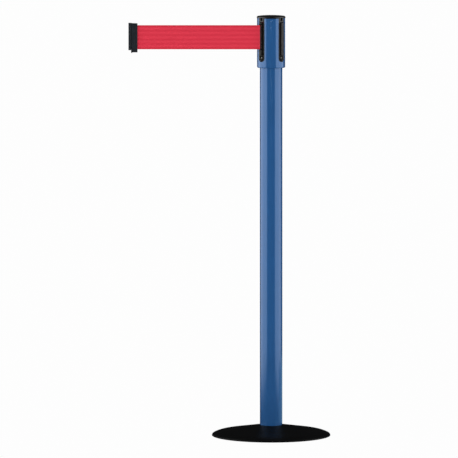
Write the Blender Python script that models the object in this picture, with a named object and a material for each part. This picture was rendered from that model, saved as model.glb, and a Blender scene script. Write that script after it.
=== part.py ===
"""Retractable belt stanchion: weighted base, tube post, four-way head with a spring-wound belt cassette.

Frame: metres, +Z up, origin on the floor under the post's axis. The belt is pulled out along -X.
All driving dimensions below are in millimetres and are turned into metres by mm().
"""

import math

import bmesh
import bpy
from mathutils import Matrix, Vector

# ---------------------------------------------------------------- driving dimensions, mm
GAP = 0.3  # clearance between neighbouring pieces
SEG = 40  # facets round a large turned piece
SEG_SMALL = 14  # facets round a pin, screw or bush

# base
BASE_R = 134.0
PAD_R = 130.8
PAD_T = 3.0
CONE_AT_AXIS = 28.4  # height of the cover's cone, carried on to the axis
CONE_SLOPE = 0.160
SHOULDER_R = 60.0  # wide curve from the cone to the edge
EDGE_R = 5.0  # tight curve down to the floor
BREAK_ANGLE = 26.0  # slope where one curve meets the other, degrees
COVER_T = 1.0
COVER_EDGE_Z = 0.5
SEAT_Z = 20.5  # the weight's flat seat for the post
BOLT_R = 5.0

# post
TUBE_R = 25.4
TUBE_WALL = 1.5
TUBE_Z0 = SEAT_Z + GAP
TUBE_Z1 = 834.8

# head
HEAD_R = 31.75
SHELL_WALL = 2.0
SHELL_Z0 = 831.5
SHELL_Z1 = 943.6
CAP_R = 32.2
CAP_Z0 = 943.9
CAP_RIM_Z = 949.0
TOTAL_H = 950.0

# channels: bearing of the belt's exit from the -Y axis, clockwise seen from above, then every 90 degrees
EXIT_BEARING = 43.5
CHANNEL_NAMES = ("front_left", "front_right", "back_right", "back_left")
LINER_BACK = 23.8
LINER_FLOOR = 25.0
LINER_HALF = 7.6
CHANNEL_HALF = 6.7
FLANGE_R0 = 32.05
FLANGE_R1 = 33.0
FLANGE_HALF = 8.1
LINER_Z0 = 845.6
CHANNEL_Z0 = 848.0
LINER_Z1 = 943.3
LINER_SCREW_Z = 854.2
BOSS_U = 30.2  # solid lower end of the channel, which the screw's head bears on
LINER_BOSS_Z = 859.5
LINER_SCREW_LEN = 14.4
LAND_U = 25.3  # raised land on the channel's back wall, where a belt end's tongue bears
LAND_HALF = 4.2
LAND_Z0, LAND_Z1 = 859.0, 932.4

# belt
BELT_Z0 = 874.1
BELT_Z1 = 928.4
BELT_T = 0.5
LIP_R = 1.0  # rounded lip of the exit liner that the belt turns over
LIP_U, LIP_T = 30.3, 6.6
WINDOW_Z0, WINDOW_Z1 = 872.0, 930.6
ROLL_R = 19.7
LEAD_END_X = -27.4
CLIP_X0, CLIP_X1 = -322.4, -302.0
CLIP_Z0, CLIP_Z1 = 867.2, 933.6

# cassette
PLATE_Z0, PLATE_Z1 = 840.3, 844.0
BOSS_Z1 = 858.5
TOP_Z0, TOP_Z1 = 941.2, 943.6
PILLAR_AT = 26.2
PILLAR_R = 2.4
SPOOL_R = 21.6
HUB_R = 9.0
HUB_BORE = 6.3
SPINDLE_R = 3.0
BARREL_Z0, BARREL_Z1 = 861.6, 871.6
SPOOL_FLANGE_T = 2.0
SPRING_T = 0.4
SPRING_TURNS = 7
BRAKE_PIN_AT = 13.0
BRAKE_Z0 = 933.6
BRAKE_Z1 = 938.4
BRAKE_RING_R0 = 18.6


def mm(*v):
    return tuple(x * 0.001 for x in v)


# ---------------------------------------------------------------- clean start
for old in list(bpy.data.objects):
    bpy.data.objects.remove(old, do_unlink=True)
for block in (bpy.data.meshes, bpy.data.materials, bpy.data.curves):
    for old in list(block):
        block.remove(old)


# ---------------------------------------------------------------- materials
def material(name, colour, roughness, metallic=0.0):
    m = bpy.data.materials.new(name)
    m.use_nodes = True
    p = m.node_tree.nodes["Principled BSDF"]
    p.inputs["Base Color"].default_value = (*colour, 1.0)
    p.inputs["Roughness"].default_value = roughness
    p.inputs["Metallic"].default_value = metallic
    m.diffuse_color = (*colour, 1.0)
    return m


MAT = {
    "blue_coat": material("blue_coat", (0.032, 0.092, 0.225), 0.38),
    "black_cover": material("black_cover", (0.007, 0.007, 0.008), 0.42),
    "black_plastic": material("black_plastic", (0.012, 0.013, 0.014), 0.5),
    "clip_plastic": material("clip_plastic", (0.016, 0.020, 0.025), 0.48),
    "rubber": material("rubber", (0.010, 0.010, 0.010), 0.85),
    "iron": material("iron", (0.10, 0.10, 0.10), 0.7, 0.6),
    "zinc_steel": material("zinc_steel", (0.55, 0.56, 0.57), 0.35, 1.0),
    "spring_steel": material("spring_steel", (0.30, 0.31, 0.34), 0.3, 1.0),
    "acetal": material("acetal", (0.72, 0.71, 0.67), 0.45),
    "red_webbing": material("red_webbing", (0.63, 0.040, 0.062), 0.75),
    "brake_lining": material("brake_lining", (0.10, 0.075, 0.06), 0.9),
}

# ---------------------------------------------------------------- frames on the joints' axes
EMPTIES = {}


def frame_at(name, at, parent=None):
    e = bpy.data.objects.new(name, None)
    e.empty_display_size = 0.02
    bpy.context.scene.collection.objects.link(e)
    e.location = mm(*at)
    if parent:
        e.parent = EMPTIES[parent]
        e.location = Vector(mm(*at)) - EMPTIES[parent].matrix_world.translation
    EMPTIES[name] = e
    bpy.context.view_layer.update()
    return e


frame_at("post_frame", (0, 0, 0))
frame_at("spool_axis", (0, 0, 900.0), "post_frame")


# ---------------------------------------------------------------- mesh helpers
def finish(bm, name, weld=1e-7):
    """The bmesh as a closed mesh, faces out."""
    bmesh.ops.remove_doubles(bm, verts=bm.verts, dist=weld)
    bmesh.ops.recalc_face_normals(bm, faces=bm.faces)
    me = bpy.data.meshes.new(name)
    bm.to_mesh(me)
    bm.free()
    return me


def turned(name, profile, seg=SEG):
    """A solid of revolution about Z. profile is (radius, height) in mm: a closed loop, or a line from axis to axis."""
    bm = bmesh.new()
    vs = [bm.verts.new(mm(r, 0.0, z)) for r, z in profile]
    touches = profile[0][0] == 0 and profile[-1][0] == 0
    pairs = list(zip(vs, vs[1:]))
    if not touches:
        pairs.append((vs[-1], vs[0]))
    es = [bm.edges.new(p) for p in pairs]
    bmesh.ops.spin(
        bm,
        geom=vs + es,
        axis=(0, 0, 1),
        cent=(0, 0, 0),
        dvec=(0, 0, 0),
        angle=2 * math.pi,
        steps=seg,
        use_merge=True,
    )
    return finish(bm, name)


def prism(name, outline, z0, z1):
    """An outline in the XY plane, in mm, extruded from z0 to z1."""
    bm = bmesh.new()
    f = bm.faces.new([bm.verts.new(mm(x, y, z0)) for x, y in outline])
    out = bmesh.ops.extrude_face_region(bm, geom=[f])
    top = [g for g in out["geom"] if isinstance(g, bmesh.types.BMVert)]
    bmesh.ops.translate(bm, verts=top, vec=mm(0, 0, z1 - z0))
    return finish(bm, name)


def plate_yz(name, outline, x0, x1):
    """An outline in the YZ plane, in mm, extruded from x0 to x1."""
    bm = bmesh.new()
    f = bm.faces.new([bm.verts.new(mm(x0, y, z)) for y, z in outline])
    out = bmesh.ops.extrude_face_region(bm, geom=[f])
    top = [g for g in out["geom"] if isinstance(g, bmesh.types.BMVert)]
    bmesh.ops.translate(bm, verts=top, vec=mm(x1 - x0, 0, 0))
    return finish(bm, name)


def box(name, lo, hi):
    return prism(
        name,
        [(lo[0], lo[1]), (hi[0], lo[1]), (hi[0], hi[1]), (lo[0], hi[1])],
        lo[2],
        hi[2],
    )


def joined(name, parts):
    """Several closed meshes, each with its own placement, as one cutter mesh of separate bodies."""
    bm = bmesh.new()
    for me, matrix in parts:
        start = len(bm.verts)
        bm.from_mesh(me)
        bm.verts.ensure_lookup_table()
        bmesh.ops.transform(bm, matrix=matrix, verts=bm.verts[start:])
    out = bpy.data.meshes.new(name)
    bm.to_mesh(out)
    bm.free()
    return out


def combine(base, steps):
    """Apply Boolean steps [(operation, mesh)] to a mesh, and give the resulting mesh."""
    ob = bpy.data.objects.new("work", base)
    bpy.context.scene.collection.objects.link(ob)
    tools = []
    for n, (operation, me) in enumerate(steps):
        tool = bpy.data.objects.new(f"work_tool_{n}", me)
        tool.hide_render = True
        tool.display_type = "WIRE"
        bpy.context.scene.collection.objects.link(tool)
        m = ob.modifiers.new(f"step_{n}", "BOOLEAN")
        m.operation = operation
        m.solver = "EXACT"
        m.object = tool
        tools.append(tool)
    bpy.context.view_layer.update()
    done = bpy.data.meshes.new_from_object(
        ob.evaluated_get(bpy.context.evaluated_depsgraph_get())
    )
    for t in tools:
        bpy.data.objects.remove(t, do_unlink=True)
    bpy.data.objects.remove(ob, do_unlink=True)
    bm = bmesh.new()
    bm.from_mesh(done)
    bmesh.ops.dissolve_degenerate(bm, edges=bm.edges, dist=2e-6)
    bmesh.ops.remove_doubles(bm, verts=bm.verts, dist=1e-6)
    bm.to_mesh(done)
    bm.free()
    return done


def node(name, me, mat, parent="post_frame", rotation=0.0, smooth=True):
    """A named piece. Its mesh is in world coordinates at rest; its origin goes to its parent frame's."""
    me.name = name
    me.materials.clear()
    me.materials.append(MAT[mat])
    if smooth:
        me.shade_smooth()
        me.set_sharp_from_angle(angle=math.radians(32))
    ob = bpy.data.objects.new(name, me)
    bpy.context.scene.collection.objects.link(ob)
    at = EMPTIES[parent].matrix_world.translation
    if not rotation:
        me.transform(Matrix.Translation(-at))
    else:
        ob.rotation_euler = (0, 0, math.radians(rotation))
    ob.parent = EMPTIES[parent]
    return ob


def circle(r, n, cx=0.0, cy=0.0, start=0.0):
    return [
        (
            cx + r * math.cos(start + 2 * math.pi * k / n),
            cy + r * math.sin(start + 2 * math.pi * k / n),
        )
        for k in range(n)
    ]


def arc(cx, cy, r, a0, a1, n):
    """Points on an arc, angles in degrees, both ends included."""
    return [
        (
            cx + r * math.cos(math.radians(a0 + (a1 - a0) * k / n)),
            cy + r * math.sin(math.radians(a0 + (a1 - a0) * k / n)),
        )
        for k in range(n + 1)
    ]


def ribbon(path, thick):
    """A path in XY as a closed outline of the given thickness."""
    left, right = [], []
    for k, (x, y) in enumerate(path):
        ax, ay = path[max(k - 1, 0)]
        bx, by = path[min(k + 1, len(path) - 1)]
        dx, dy = bx - ax, by - ay
        n = math.hypot(dx, dy)
        # widen at a corner so that the thickness stays even
        grow = 1.0
        if 0 < k < len(path) - 1:
            ux, uy = x - ax, y - ay
            un = math.hypot(ux, uy)
            grow = 1.0 / max((ux * dx + uy * dy) / (un * n), 0.5)
        ox, oy = -dy / n * thick / 2 * grow, dx / n * thick / 2 * grow
        left.append((x + ox, y + oy))
        right.append((x - ox, y - oy))
    return left + right[::-1]


def upright(half, z0, z1, corner, n=3):
    """Outline in YZ with two rounded lower corners."""
    low = arc(half - corner, z0 + corner, corner, 0, -90, n)
    return (
        [(half, z1)]
        + low
        + [(-y, z) for y, z in low[::-1]]
        + [(-half, z1)]
    )


def turn_z(degrees):
    return Matrix.Rotation(math.radians(degrees), 4, "Z")


# a channel's own axes: u points out through its mouth, t across it. Built along +X, then turned
EXIT_ANGLE = 270.0 - EXIT_BEARING  # direction of u for the exit channel, from +X
CHANNEL_ANGLES = [EXIT_ANGLE + 90.0 * k for k in range(4)]
PILLAR_ANGLES = [EXIT_ANGLE + 45.0 + 90.0 * k for k in range(4)]


def world(u, t, angle=EXIT_ANGLE):
    """A point given in a channel's axes, in world XY, mm. At the exit, +t is on the -X side."""
    a = math.radians(angle)
    return (u * math.cos(a) + t * math.sin(a), u * math.sin(a) - t * math.cos(a))


# ================================================================ base
node(
    "floor_pad",
    turned(
        "floor_pad",
        [(0, 0), (PAD_R - 0.8, 0), (PAD_R, 0.8), (PAD_R, PAD_T), (0, PAD_T)],
    ),
    "rubber",
)


def cone(r):
    return CONE_AT_AXIS - CONE_SLOPE * r


TILT = math.degrees(math.atan(CONE_SLOPE))
EDGE_AT = BASE_R - EDGE_R
SHOULDER_AT = EDGE_AT - (SHOULDER_R - EDGE_R) * math.sin(math.radians(BREAK_ANGLE))
TANGENT_R = SHOULDER_AT + SHOULDER_R * math.sin(math.radians(TILT))
SHOULDER_Z = cone(TANGENT_R) - SHOULDER_R * math.cos(math.radians(TILT))
EDGE_Z = SHOULDER_Z + (SHOULDER_R - EDGE_R) * math.cos(math.radians(BREAK_ANGLE))
END_ANGLE = math.degrees(math.asin((COVER_EDGE_Z - EDGE_Z) / EDGE_R))


def shoulder(inset):
    """The dome's outer curve, moved inwards by inset."""
    wide = arc(
        SHOULDER_AT, SHOULDER_Z, SHOULDER_R - inset, 90 - TILT, 90 - BREAK_ANGLE, 4
    )
    tight = arc(EDGE_AT, EDGE_Z, EDGE_R - inset, 90 - BREAK_ANGLE, END_ANGLE, 4)
    return wide + tight[1:]


COVER_HOLE = TUBE_R + GAP
outer = [(COVER_HOLE, cone(COVER_HOLE)), (75.0, cone(75.0))] + shoulder(0)
cover_inner_up = (
    [(COVER_HOLE, cone(COVER_HOLE) - COVER_T * 1.012)]
    + [(75.0, cone(75.0) - COVER_T * 1.012)]
    + shoulder(COVER_T)
)
node(
    "base_cover",
    turned("base_cover", outer + cover_inner_up[::-1]),
    "black_cover",
)

WEIGHT_Z0 = PAD_T + GAP
RECESS_R = 11.5
RECESS_Z = 13.1
under = COVER_T * 1.012 + GAP
weight_edge = [p for p in shoulder(COVER_T + GAP) if p[1] > WEIGHT_Z0 + 0.3]
node(
    "base_weight",
    turned(
        "base_weight",
        [
            (RECESS_R, WEIGHT_Z0),
            (weight_edge[-1][0] + 0.1, WEIGHT_Z0),
        ]
        + weight_edge[::-1]
        + [
            (75.0, cone(75.0) - under),
            (30.0, cone(30.0) - under),
            (27.0, SEAT_Z),
            (BOLT_R + 0.5, SEAT_Z),
            (BOLT_R + 0.5, RECESS_Z),
            (RECESS_R, RECESS_Z),
        ],
    ),
    "iron",
)

HEAD_Z0, HEAD_Z1 = WEIGHT_Z0 + 0.3, 8.6
bolt_head = prism("bolt_head", circle(9.6, 6), HEAD_Z0, HEAD_Z1)
bolt_shank = turned(
    "bolt_shank",
    [
        (0, HEAD_Z1 - 1.0),
        (BOLT_R, HEAD_Z1 - 1.0),
        (BOLT_R, 43.0),
        (BOLT_R - 1.2, 44.2),
        (0, 44.2),
    ],
    SEG_SMALL,
)
node("base_bolt", combine(bolt_head, [("UNION", bolt_shank)]), "zinc_steel")

# split spring washer: one open ring
washer_outline = arc(0, 0, 9.0, 5, 355, 22) + arc(0, 0, BOLT_R + 0.4, 355, 5, 22)
node(
    "lock_washer",
    prism("lock_washer", washer_outline, HEAD_Z1 + GAP, HEAD_Z1 + GAP + 2.0),
    "zinc_steel",
)
node(
    "flat_washer",
    turned(
        "flat_washer",
        [(BOLT_R + 0.4, 11.2), (10.5, 11.2), (10.5, 12.8), (BOLT_R + 0.4, 12.8)],
        28,
    ),
    "zinc_steel",
)

# ================================================================ post
TUBE_IN = TUBE_R - TUBE_WALL
node(
    "post_tube",
    turned(
        "post_tube",
        [
            (TUBE_R, TUBE_Z1 - 0.4),
            (TUBE_R - 0.4, TUBE_Z1),
            (TUBE_IN, TUBE_Z1),
            (TUBE_IN, TUBE_Z0),
            (TUBE_R, TUBE_Z0),
        ],
    ),
    "blue_coat",
)
node(
    "post_plug",
    turned(
        "post_plug",
        [
            (BOLT_R + GAP, TUBE_Z0 + 0.3),
            (TUBE_IN - GAP, TUBE_Z0 + 0.3),
            (TUBE_IN - GAP, 36.5),
            (TUBE_IN - GAP - 1.5, 38.0),
            (11.0, 38.0),
            (11.0, 41.5),
            (BOLT_R + GAP, 41.5),
        ],
        28,
    ),
    "zinc_steel",
)

# ================================================================ head
ADAPTER_Z1 = PLATE_Z0 - GAP
adapter = turned(
    "head_adapter",
    [
        (TUBE_IN - GAP, TUBE_Z1 + GAP),
        (HEAD_R - SHELL_WALL - GAP, TUBE_Z1 + GAP),
        (HEAD_R - SHELL_WALL - GAP, ADAPTER_Z1),
        (8.0, ADAPTER_Z1),
        (8.0, 831.0),
        (20.5, 828.0),
        (20.5, 788.0),
        (22.4, 786.0),
        (TUBE_IN - GAP, 788.5),
    ],
    36,
)
screw_hole = turned("hole", [(0, 0), (1.5, 0), (1.5, 200), (0, 200)], 12)
holes = joined(
    "screw_holes",
    [
        (
            screw_hole,
            turn_z(a) @ Matrix.Translation(Vector(mm(PILLAR_AT, 0, 836.5))),
        )
        for a in PILLAR_ANGLES
    ],
)
node("head_adapter", combine(adapter, [("DIFFERENCE", holes)]), "black_plastic")

shell = turned(
    "head_shell",
    [
        (HEAD_R - 1.7, SHELL_Z0),
        (HEAD_R - 0.6, SHELL_Z0 + 0.6),
        (HEAD_R, SHELL_Z0 + 2.1),
        (HEAD_R, SHELL_Z1 - 0.4),
        (HEAD_R - 0.4, SHELL_Z1),
        (HEAD_R - SHELL_WALL, SHELL_Z1),
        (HEAD_R - SHELL_WALL, SHELL_Z0),
    ],
    48,
)
slot = plate_yz(
    "slot",
    upright(LINER_HALF + GAP, LINER_Z0 + 0.3, SHELL_Z1 + 5, 2.7, 2),
    LINER_BACK - GAP,
    40.0,
)
slots = joined("slots", [(slot, turn_z(a)) for a in CHANNEL_ANGLES])
node("head_shell", combine(shell, [("DIFFERENCE", slots)]), "blue_coat")


# ---- channel liners: a U channel with a rim that stands proud of the shell
body = plate_yz(
    "liner_body",
    upright(LINER_HALF, LINER_Z0 + 0.6, LINER_Z1, 2.4, 2),
    LINER_BACK,
    31.9,
)
rim_block = plate_yz(
    "rim_block",
    upright(FLANGE_HALF, LINER_Z0, LINER_Z1, 3.4),
    29.5,
    36.0,
)
rim_band = prism(
    "rim_band",
    arc(0, 0, FLANGE_R1, -20, 20, 10) + arc(0, 0, FLANGE_R0, 20, -20, 10),
    LINER_Z0 - 5,
    LINER_Z1 + 5,
)
rim = combine(rim_block, [("INTERSECT", rim_band)])
pocket = plate_yz(
    "pocket",
    upright(CHANNEL_HALF, LINER_BOSS_Z, LINER_Z1 + 5, 0.8, 1),
    LINER_FLOOR,
    40.0,
)
low_pocket = plate_yz(
    "low_pocket",
    upright(CHANNEL_HALF, CHANNEL_Z0, LINER_Z1 + 5, 3.0),
    BOSS_U,
    40.0,
)
floor_hole = plate_yz(
    "floor_hole",
    circle(1.6, 12, 0, LINER_SCREW_Z),
    LINER_BACK - 2,
    BOSS_U + 2,
)
land = plate_yz(
    "land",
    [
        (-LAND_HALF, LAND_Z0),
        (LAND_HALF, LAND_Z0),
        (LAND_HALF, LAND_Z1),
        (-LAND_HALF, LAND_Z1),
    ],
    LINER_FLOOR - 0.6,
    LAND_U,
)
liner = combine(
    body,
    [
        ("UNION", rim),
        ("DIFFERENCE", pocket),
        ("DIFFERENCE", low_pocket),
        ("UNION", land),
        ("DIFFERENCE", floor_hole),
    ],
)

LIP_X, LIP_Y = world(LIP_U, LIP_T)
exit_cut = prism(
    "exit_cut",
    [
        world(LINER_BACK - 0.5, 6.6),
        world(LINER_BACK - 0.5, 9.6),
        (LIP_X - 3.6, LIP_Y + LIP_R),
    ]
    + arc(LIP_X, LIP_Y, LIP_R, 90, -90, 6)
    + [
        (LIP_X - 8.0, LIP_Y - LIP_R),
        (LIP_X - 8.0, LIP_Y - 8.0),
        world(34.5, 4.9),
    ],
    WINDOW_Z0,
    WINDOW_Z1,
)
lip = prism(
    "lip", circle(LIP_R - 0.01, 16, LIP_X, LIP_Y), WINDOW_Z0 - 0.6, WINDOW_Z1 + 0.6
)
for name, angle in zip(CHANNEL_NAMES, CHANNEL_ANGLES):
    me = joined("liner", [(liner, turn_z(angle))])
    if name == "front_left":
        me = combine(me, [("DIFFERENCE", exit_cut), ("UNION", lip)])
    node("channel_liner_" + name, me, "black_plastic")

liner_screw = joined(
    "liner_screw",
    [
        (
            turned(
                "screw",
                [
                    (0, 0),
                    (1.2, 0),
                    (1.2, LINER_SCREW_LEN),
                    (2.6, LINER_SCREW_LEN),
                    (2.6, LINER_SCREW_LEN + 0.9),
                    (1.8, LINER_SCREW_LEN + 1.5),
                    (0.9, LINER_SCREW_LEN + 1.5),
                    (0.9, LINER_SCREW_LEN + 0.7),
                    (0, LINER_SCREW_LEN + 0.7),
                ],
                12,
            ),
            Matrix.Translation(
                Vector(mm(BOSS_U + GAP - LINER_SCREW_LEN, 0, LINER_SCREW_Z))
            )
            @ Matrix.Rotation(math.pi / 2, 4, "Y"),
        )
    ],
)
for name, angle in zip(CHANNEL_NAMES, CHANNEL_ANGLES):
    node(
        "liner_screw_" + name,
        joined("screw", [(liner_screw, turn_z(angle))]),
        "zinc_steel",
    )

# ---- cap: crowned lid, one lug down each channel with a slit between two jaws
cap = turned(
    "head_cap",
    [
        (0, TOTAL_H),
        (12.0, TOTAL_H),
        (24.0, TOTAL_H - 0.3),
        (CAP_R - 1.4, CAP_RIM_Z),
        (CAP_R - 0.4, CAP_RIM_Z - 0.7),
        (CAP_R, CAP_RIM_Z - 1.8),
        (CAP_R, CAP_Z0),
        (HEAD_R - SHELL_WALL - GAP - 0.2, CAP_Z0),
        (HEAD_R - SHELL_WALL - GAP - 0.2, 947.4),
        (0, 947.4),
    ],
    40,
)
lug = box("lug", (25.5, -6.2, 936.0), (31.9, 6.2, 948.2))
lug_slit = box("slit", (27.5, -3.0, 938.4), (34.0, 3.0, 943.4))
lugs = joined("lugs", [(lug, turn_z(a)) for a in CHANNEL_ANGLES])
slits = joined("slits", [(lug_slit, turn_z(a)) for a in CHANNEL_ANGLES])
node(
    "head_cap", combine(cap, [("UNION", lugs), ("DIFFERENCE", slits)]), "black_plastic"
)

# ================================================================ cassette
clear_hole = turned("clear", [(0, 0), (1.6, 0), (1.6, 30), (0, 30)], 12)
plate_holes = joined(
    "plate_holes",
    [
        (clear_hole, turn_z(a) @ Matrix.Translation(Vector(mm(PILLAR_AT, 0, 830))))
        for a in PILLAR_ANGLES
    ],
)
radial_hole = plate_yz("radial", circle(1.5, 12, 0, LINER_SCREW_Z), 12.0, 26.0)
radial_holes = joined("radial_holes", [(radial_hole, turn_z(a)) for a in CHANNEL_ANGLES])
base_plate = turned(
    "cassette_base",
    [
        (SPINDLE_R + GAP, PLATE_Z0),
        (HEAD_R - SHELL_WALL - GAP, PLATE_Z0),
        (HEAD_R - SHELL_WALL - GAP, PLATE_Z1),
        (SPOOL_R, PLATE_Z1),
        (SPOOL_R, BOSS_Z1),
        (14.5, BOSS_Z1),
        (14.5, PLATE_Z1 + 1.0),
        (7.5, PLATE_Z1 + 1.0),
        (7.5, BOSS_Z1 - 0.5),
        (SPINDLE_R + GAP, BOSS_Z1 - 0.5),
    ],
    36,
)
node(
    "cassette_base",
    combine(
        base_plate, [("DIFFERENCE", plate_holes), ("DIFFERENCE", radial_holes)]
    ),
    "black_plastic",
)

top_plate = turned(
    "cassette_top",
    [
        (SPINDLE_R + GAP, TOP_Z0),
        (BRAKE_RING_R0, TOP_Z0),
        (BRAKE_RING_R0, BRAKE_Z0 + 0.7),
        (20.4, BRAKE_Z0 + 0.7),
        (20.4, TOP_Z0),
        (HEAD_R - SHELL_WALL - GAP, TOP_Z0),
        (HEAD_R - SHELL_WALL - GAP, TOP_Z1),
        (SPINDLE_R + GAP, TOP_Z1),
    ],
    36,
)
notch = box(
    "notch", (LINER_BACK - GAP, -LINER_HALF - GAP, 930), (36, LINER_HALF + GAP, 950)
)
notches = joined("notches", [(notch, turn_z(a)) for a in CHANNEL_ANGLES])
top_holes = joined(
    "top_holes",
    [
        (clear_hole, turn_z(a) @ Matrix.Translation(Vector(mm(PILLAR_AT, 0, 925))))
        for a in PILLAR_ANGLES
    ],
)
node(
    "cassette_top",
    combine(top_plate, [("DIFFERENCE", notches), ("DIFFERENCE", top_holes)]),
    "black_plastic",
)

pillar = turned(
    "pillar",
    [
        (1.6, PLATE_Z1 + GAP),
        (PILLAR_R, PLATE_Z1 + GAP),
        (PILLAR_R, TOP_Z0 - GAP),
        (1.6, TOP_Z0 - GAP),
    ],
    12,
)
long_screw = turned(
    "long_screw",
    [
        (0, 836.8),
        (1.2, 836.8),
        (1.2, TOP_Z1 + GAP),
        (2.5, TOP_Z1 + GAP),
        (2.5, TOP_Z1 + 1.3),
        (1.6, TOP_Z1 + 1.9),
        (0.8, TOP_Z1 + 1.9),
        (0.8, TOP_Z1 + 1.1),
        (0, TOP_Z1 + 1.1),
    ],
    10,
)
for letter, angle in zip("abcd", PILLAR_ANGLES):
    place = turn_z(angle) @ Matrix.Translation(Vector(mm(PILLAR_AT, 0, 0)))
    node("cassette_pillar_" + letter, joined("p", [(pillar, place)]), "zinc_steel")
    node("cassette_screw_" + letter, joined("s", [(long_screw, place)]), "zinc_steel")

RING_Z = BRAKE_Z0 + 0.5
node(
    "spindle",
    turned(
        "spindle",
        [
            (0, PLATE_Z0 + 0.3),
            (SPINDLE_R, PLATE_Z0 + 0.3),
            (SPINDLE_R, BOSS_Z1 - 0.5 + GAP),
            (5.2, BOSS_Z1 - 0.5 + GAP),
            (5.2, BOSS_Z1 + 1.0),
            (SPINDLE_R, BOSS_Z1 + 1.0),
            (SPINDLE_R, RING_Z - 0.1),
            (2.2, RING_Z - 0.1),
            (2.2, RING_Z + 0.9),
            (SPINDLE_R, RING_Z + 0.9),
            (SPINDLE_R, TOP_Z1 + 0.5),
            (SPINDLE_R - 0.6, TOP_Z1 + 1.1),
            (0, TOP_Z1 + 1.1),
        ],
        16,
    ),
    "zinc_steel",
)
ring_outline = arc(0, 0, 5.4, 35, 325, 14) + arc(0, 0, 2.5, 325, 35, 14)
node(
    "retaining_ring",
    prism("retaining_ring", ring_outline, RING_Z + 0.1, RING_Z + 0.7),
    "spring_steel",
)

node(
    "spring_arbor",
    turned(
        "spring_arbor",
        [
            (SPINDLE_R + GAP, BARREL_Z0 - 1.6),
            (6.2, BARREL_Z0 - 1.6),
            (6.2, BARREL_Z1 - GAP),
            (SPINDLE_R + GAP, BARREL_Z1 - GAP),
        ],
        16,
    ),
    "acetal",
)

# power spring: a flat strip coiled between the arbor and the barrel's wall
coil = []
steps = SPRING_TURNS * 14
for k in range(steps + 1):
    a = 2 * math.pi * SPRING_TURNS * k / steps
    r = 6.9 + (19.5 - 6.9) * k / steps
    coil.append((r * math.cos(a), r * math.sin(a)))
node(
    "power_spring",
    prism("power_spring", ribbon(coil, SPRING_T), BARREL_Z0 + 0.6, BARREL_Z1 - 0.6),
    "spring_steel",
)

spool = turned(
    "belt_spool",
    [
        (HUB_BORE, BARREL_Z1),
        (SPOOL_R - 1.5, BARREL_Z1),
        (SPOOL_R - 1.5, BARREL_Z0),
        (SPOOL_R, BARREL_Z0),
        (SPOOL_R, BARREL_Z1 + SPOOL_FLANGE_T),
        (HUB_R, BARREL_Z1 + SPOOL_FLANGE_T),
        (HUB_R, 931.0),
        (HUB_BORE, 931.0),
    ],
    36,
)
anchor_groove = prism("anchor_groove", circle(1.3, 12, HUB_R - 0.5, 0), 876.0, 940.0)
node(
    "belt_spool",
    combine(spool, [("DIFFERENCE", anchor_groove)]),
    "black_plastic",
    "spool_axis",
)
node(
    "belt_anchor_pin",
    prism("belt_anchor_pin", circle(0.85, 10, HUB_R - 0.6, 0), 876.4, 928.0),
    "zinc_steel",
    "spool_axis",
)
node(
    "spring_cover",
    turned(
        "spring_cover",
        [
            (7.0, BARREL_Z0 - 1.5),
            (SPOOL_R, BARREL_Z0 - 1.5),
            (SPOOL_R, BARREL_Z0 - GAP),
            (7.0, BARREL_Z0 - GAP),
        ],
        28,
    ),
    "acetal",
    "spool_axis",
)
brake_pin = prism("brake_pin", circle(1.2, 14), BRAKE_Z0 - 1.4, BRAKE_Z1 + 0.2)
top_flange = turned(
    "spool_top_flange",
    [
        (HUB_BORE, 931.3),
        (SPOOL_R, 931.3),
        (SPOOL_R, 931.3 + SPOOL_FLANGE_T),
        (HUB_BORE, 931.3 + SPOOL_FLANGE_T),
    ],
    36,
)
pins = joined(
    "pins",
    [
        (brake_pin, turn_z(a) @ Matrix.Translation(Vector(mm(BRAKE_PIN_AT, 0, 0))))
        for a in (0, 180)
    ],
)
node(
    "spool_top_flange",
    combine(top_flange, [("UNION", pins)]),
    "black_plastic",
    "spool_axis",
)
for name, z0, z1 in (("bush_lower", 872.5, 880.0), ("bush_upper", 925.0, 933.0)):
    node(
        name,
        turned(
            name,
            [
                (SPINDLE_R + GAP, z0),
                (HUB_BORE - GAP, z0),
                (HUB_BORE - GAP, z1),
                (SPINDLE_R + GAP, z1),
            ],
            16,
        ),
        "acetal",
        "spool_axis",
    )

# brake shoes: arcs that pivot on the upper flange's pins and swing out against the ring
shoe_outline = arc(0, 0, 17.2, -13, 146, 18) + arc(0, 0, 9.8, 146, -13, 14)
shoe_hole = prism(
    "shoe_hole", circle(1.5, 14, BRAKE_PIN_AT, 0), BRAKE_Z0 - 2, BRAKE_Z1 + 2
)
shoe = combine(
    prism("shoe", shoe_outline, BRAKE_Z0, BRAKE_Z1 - 0.4), [("DIFFERENCE", shoe_hole)]
)
for letter, angle in (("a", 0), ("b", 180)):
    x = BRAKE_PIN_AT * math.cos(math.radians(angle))
    frame_at("shoe_pivot_" + letter, (x, 0, 936.0), "spool_axis")
    node(
        "brake_shoe_" + letter,
        joined("shoe", [(shoe, turn_z(angle))]),
        "brake_lining",
        "shoe_pivot_" + letter,
    )

# ================================================================ belt
BELT_Y = LIP_Y - LIP_R - GAP - BELT_T / 2
TURN_R = LIP_R + GAP + BELT_T / 2  # centre line round the lip
LEAVE_R = ROLL_R + GAP + BELT_T / 2  # centre line on the roll
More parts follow.
